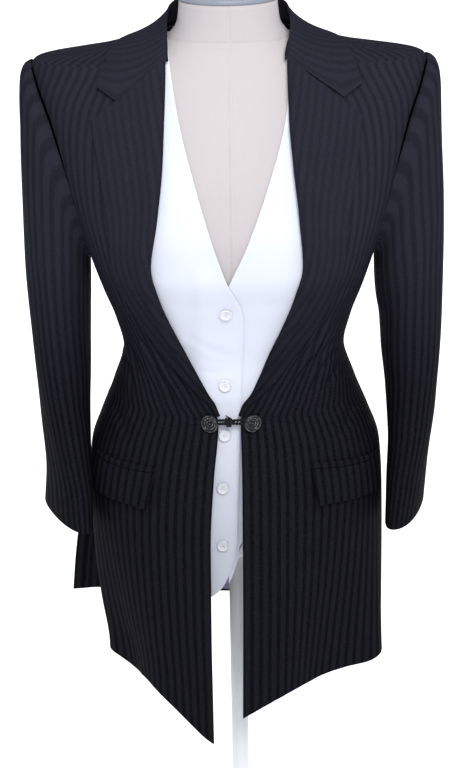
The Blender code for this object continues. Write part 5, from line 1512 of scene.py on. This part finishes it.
def twistedLoop(name, path, cadNode, around=8):
    # two strands wound round a closed path
    count = len(path)
    aside, over = acrossPath(np.roll(path, -1, 0) - np.roll(path, 1, 0), (0.0, 1.0, 0.0))
    ring = np.linspace(0, 2 * pi, around, endpoint=False)
    tubes, faces = [], []
    for start in (0, pi):
        phase = start + 2 * pi * link["twists"] * np.arange(count)[:, None] / count
        centre = path + link["wind"] * (np.cos(phase) * aside + np.sin(phase) * over)
        index = np.arange(count * around).reshape(count, around) + count * around * len(tubes)
        index = np.concatenate([index, index[:1]])
        faces.append(gridFaces(np.concatenate([index, index[:, :1]], 1)))
        tubes.append(tubeRound(centre, aside, over, link["strand"], ring).reshape(-1, 3))
    keep(meshPiece(name, np.concatenate(tubes), np.concatenate(faces), "link_cord"), "link_cord", cadNode)


def buildLinkButtons():
    shanks = {}
    for side in (right, left):
        level, share = findOnFront(side, link["place"][side], coat["linkLevel"])
        place = coatFront(side, level, share, linkButton["proud"])
        facing = coatFront(side, level, share, 0.01) - coatFront(side, level, share)
        facing /= np.linalg.norm(facing)
        shanks[side] = place + facing * linkButton["shank"] / 2
        # the link's pull tips each button outwards
        facing = facing + side * np.array(link["tip"]) * (1, side, side)
        facing /= np.linalg.norm(facing)
        spin = buttonPiece(f"linkButton{sideWord[side]}", linkButton, place, facing, "black_button",
                           f"link_button_{nodeWord[side]}")
        threadPiece(f"linkThread{sideWord[side]}", linkButton, place, spin, "link_cord")
    return shanks


def buildLoops(shanks):
    # each loop runs round its button's shank and past the crossing, where the left one turns on its edge
    half = link["loopRise"]
    meet = (shanks[right] + shanks[left]) / 2
    upright = np.array([0.0, 0.0, 1.0])
    for side in (right, left):
        start = shanks[side] + (side * half, 0, 0)
        end = np.array([link["meet"] - side * link["overlap"], meet[1], meet[2]])
        length = np.linalg.norm(end - start)
        run = (end - start) / length
        level = np.cross(run, upright)
        loop = np.array([(centre + half * cos(angle), half * sin(angle))
                         for centre, first in ((half, pi / 2), (length - half, -pi / 2))
                         for angle in first + pi * np.arange(24) / 23])
        # even spacing round the loop
        closed = np.concatenate([loop, loop[:1]])
        reach = np.concatenate([[0], np.cumsum(np.linalg.norm(np.diff(closed, axis=0), axis=1))])
        at = np.linspace(0, reach[-1], link["loopSteps"], endpoint=False)
        loop = np.stack([np.interp(at, reach, closed[:, axis]) for axis in (0, 1)], -1)
        turn = pi / 2 * loop[:, 0] / length if side == left else 0 * loop[:, 0]
        across = upright * np.cos(turn)[:, None] + level * np.sin(turn)[:, None]
        path = start + run * loop[:, :1] + across * loop[:, 1:]
        twistedLoop(f"linkLoop{sideWord[side]}", path, f"link_loop_{nodeWord[side]}")


def buildKnot():
    # a cord end wound round the crossing of the two loops, which ends in a short stub
    turns = np.linspace(0, 1, knot["steps"])[:, None]
    angle = 2 * pi * knot["turns"] * turns
    level, share = findOnFront(left, link["place"][left], coat["linkLevel"])
    front = coatFront(left, level, share, linkButton["shank"] / 2 + linkButton["proud"])
    middle = np.array([link["meet"], front[1], coat["linkLevel"] + knot["rise"]])
    coil = [(turns - 0.5) * knot["length"], -knot["radius"] * np.cos(angle), knot["radius"] * np.sin(angle)]
    wound = middle + np.concatenate(coil, 1)
    stub = wound[-1] + np.linspace(0, 1, knot["stubSteps"])[1:, None] * np.array(knot["stub"])
    path = np.concatenate([wound, stub])
    aside, over = acrossPath(np.gradient(path, axis=0), (0.31, 0.89, 0.33))
    ring = np.linspace(0, 2 * pi, 10, endpoint=False)
    share = np.linspace(0, 1, len(path))
    # both ends of the cord are drawn in
    width = knot["thick"] * np.minimum(1, 0.25 + 6 * np.minimum(share, 1 - share))
    tube = tubeRound(path, aside, over, width[:, None, None], ring)
    flat = np.stack(np.broadcast_arrays(ring * 0.001, np.linspace(0, 0.05, len(path))[:, None]), -1)
    made = gridPiece("linkKnot", tube, "link_cord", flat, loop=True, facing=tube - path[:, None])
    keep(made, "link_cord")


buildLoops(buildLinkButtons())
buildKnot()
print("link ready")

# floor

floor = {"size": 60.0, "cloud": (1.5, 2.0), "tints": ((0.60, 0.61, 0.62), (0.64, 0.65, 0.66)),
         "paintedGlow": ((0.0, 0.0, 0.0), (0.97, 0.98, 1.0)), "glowFrom": (-2.5, 0.65), "glowTo": (0.30, 0.95)}


def buildFloor():
    size = floor["size"]
    data = bpy.data.meshes.new("studioFloor")
    corners = [(-size, -size, 0), (size, -size, 0), (size, size, 0), (-size, size, 0)]
    data.from_pydata(corners, [], [(0, 1, 2, 3)])
    made, tree, shader = newMaterial("studioFloor", 0.9, Specular_IOR_Level=0.1, Emission_Strength=1.0)
    cloudy = cloudNoise(tree, *floor["cloud"])
    tree.links.new(mixColour(tree, cloudy, *floor["tints"]), shader.inputs["Base Color"])
    # painted light: the sweep glows behind the form, lighting the form from there, and the glow fades out
    # under it
    place = node(tree, "ShaderNodeTexCoord")
    parts = node(tree, "ShaderNodeSeparateXYZ", {0: place.outputs["Object"]})
    lit = rangeNode(tree, parts.outputs["Y"], *floor["glowFrom"], *floor["glowTo"],
                    interpolation_type="SMOOTHSTEP")
    tree.links.new(mixColour(tree, lit, *floor["paintedGlow"]), shader.inputs["Emission Color"])
    data.materials.append(made)
    ground = bpy.data.objects.new("studioFloor", data)
    bpy.context.scene.collection.objects.link(ground)


buildFloor()
print("scene ready")
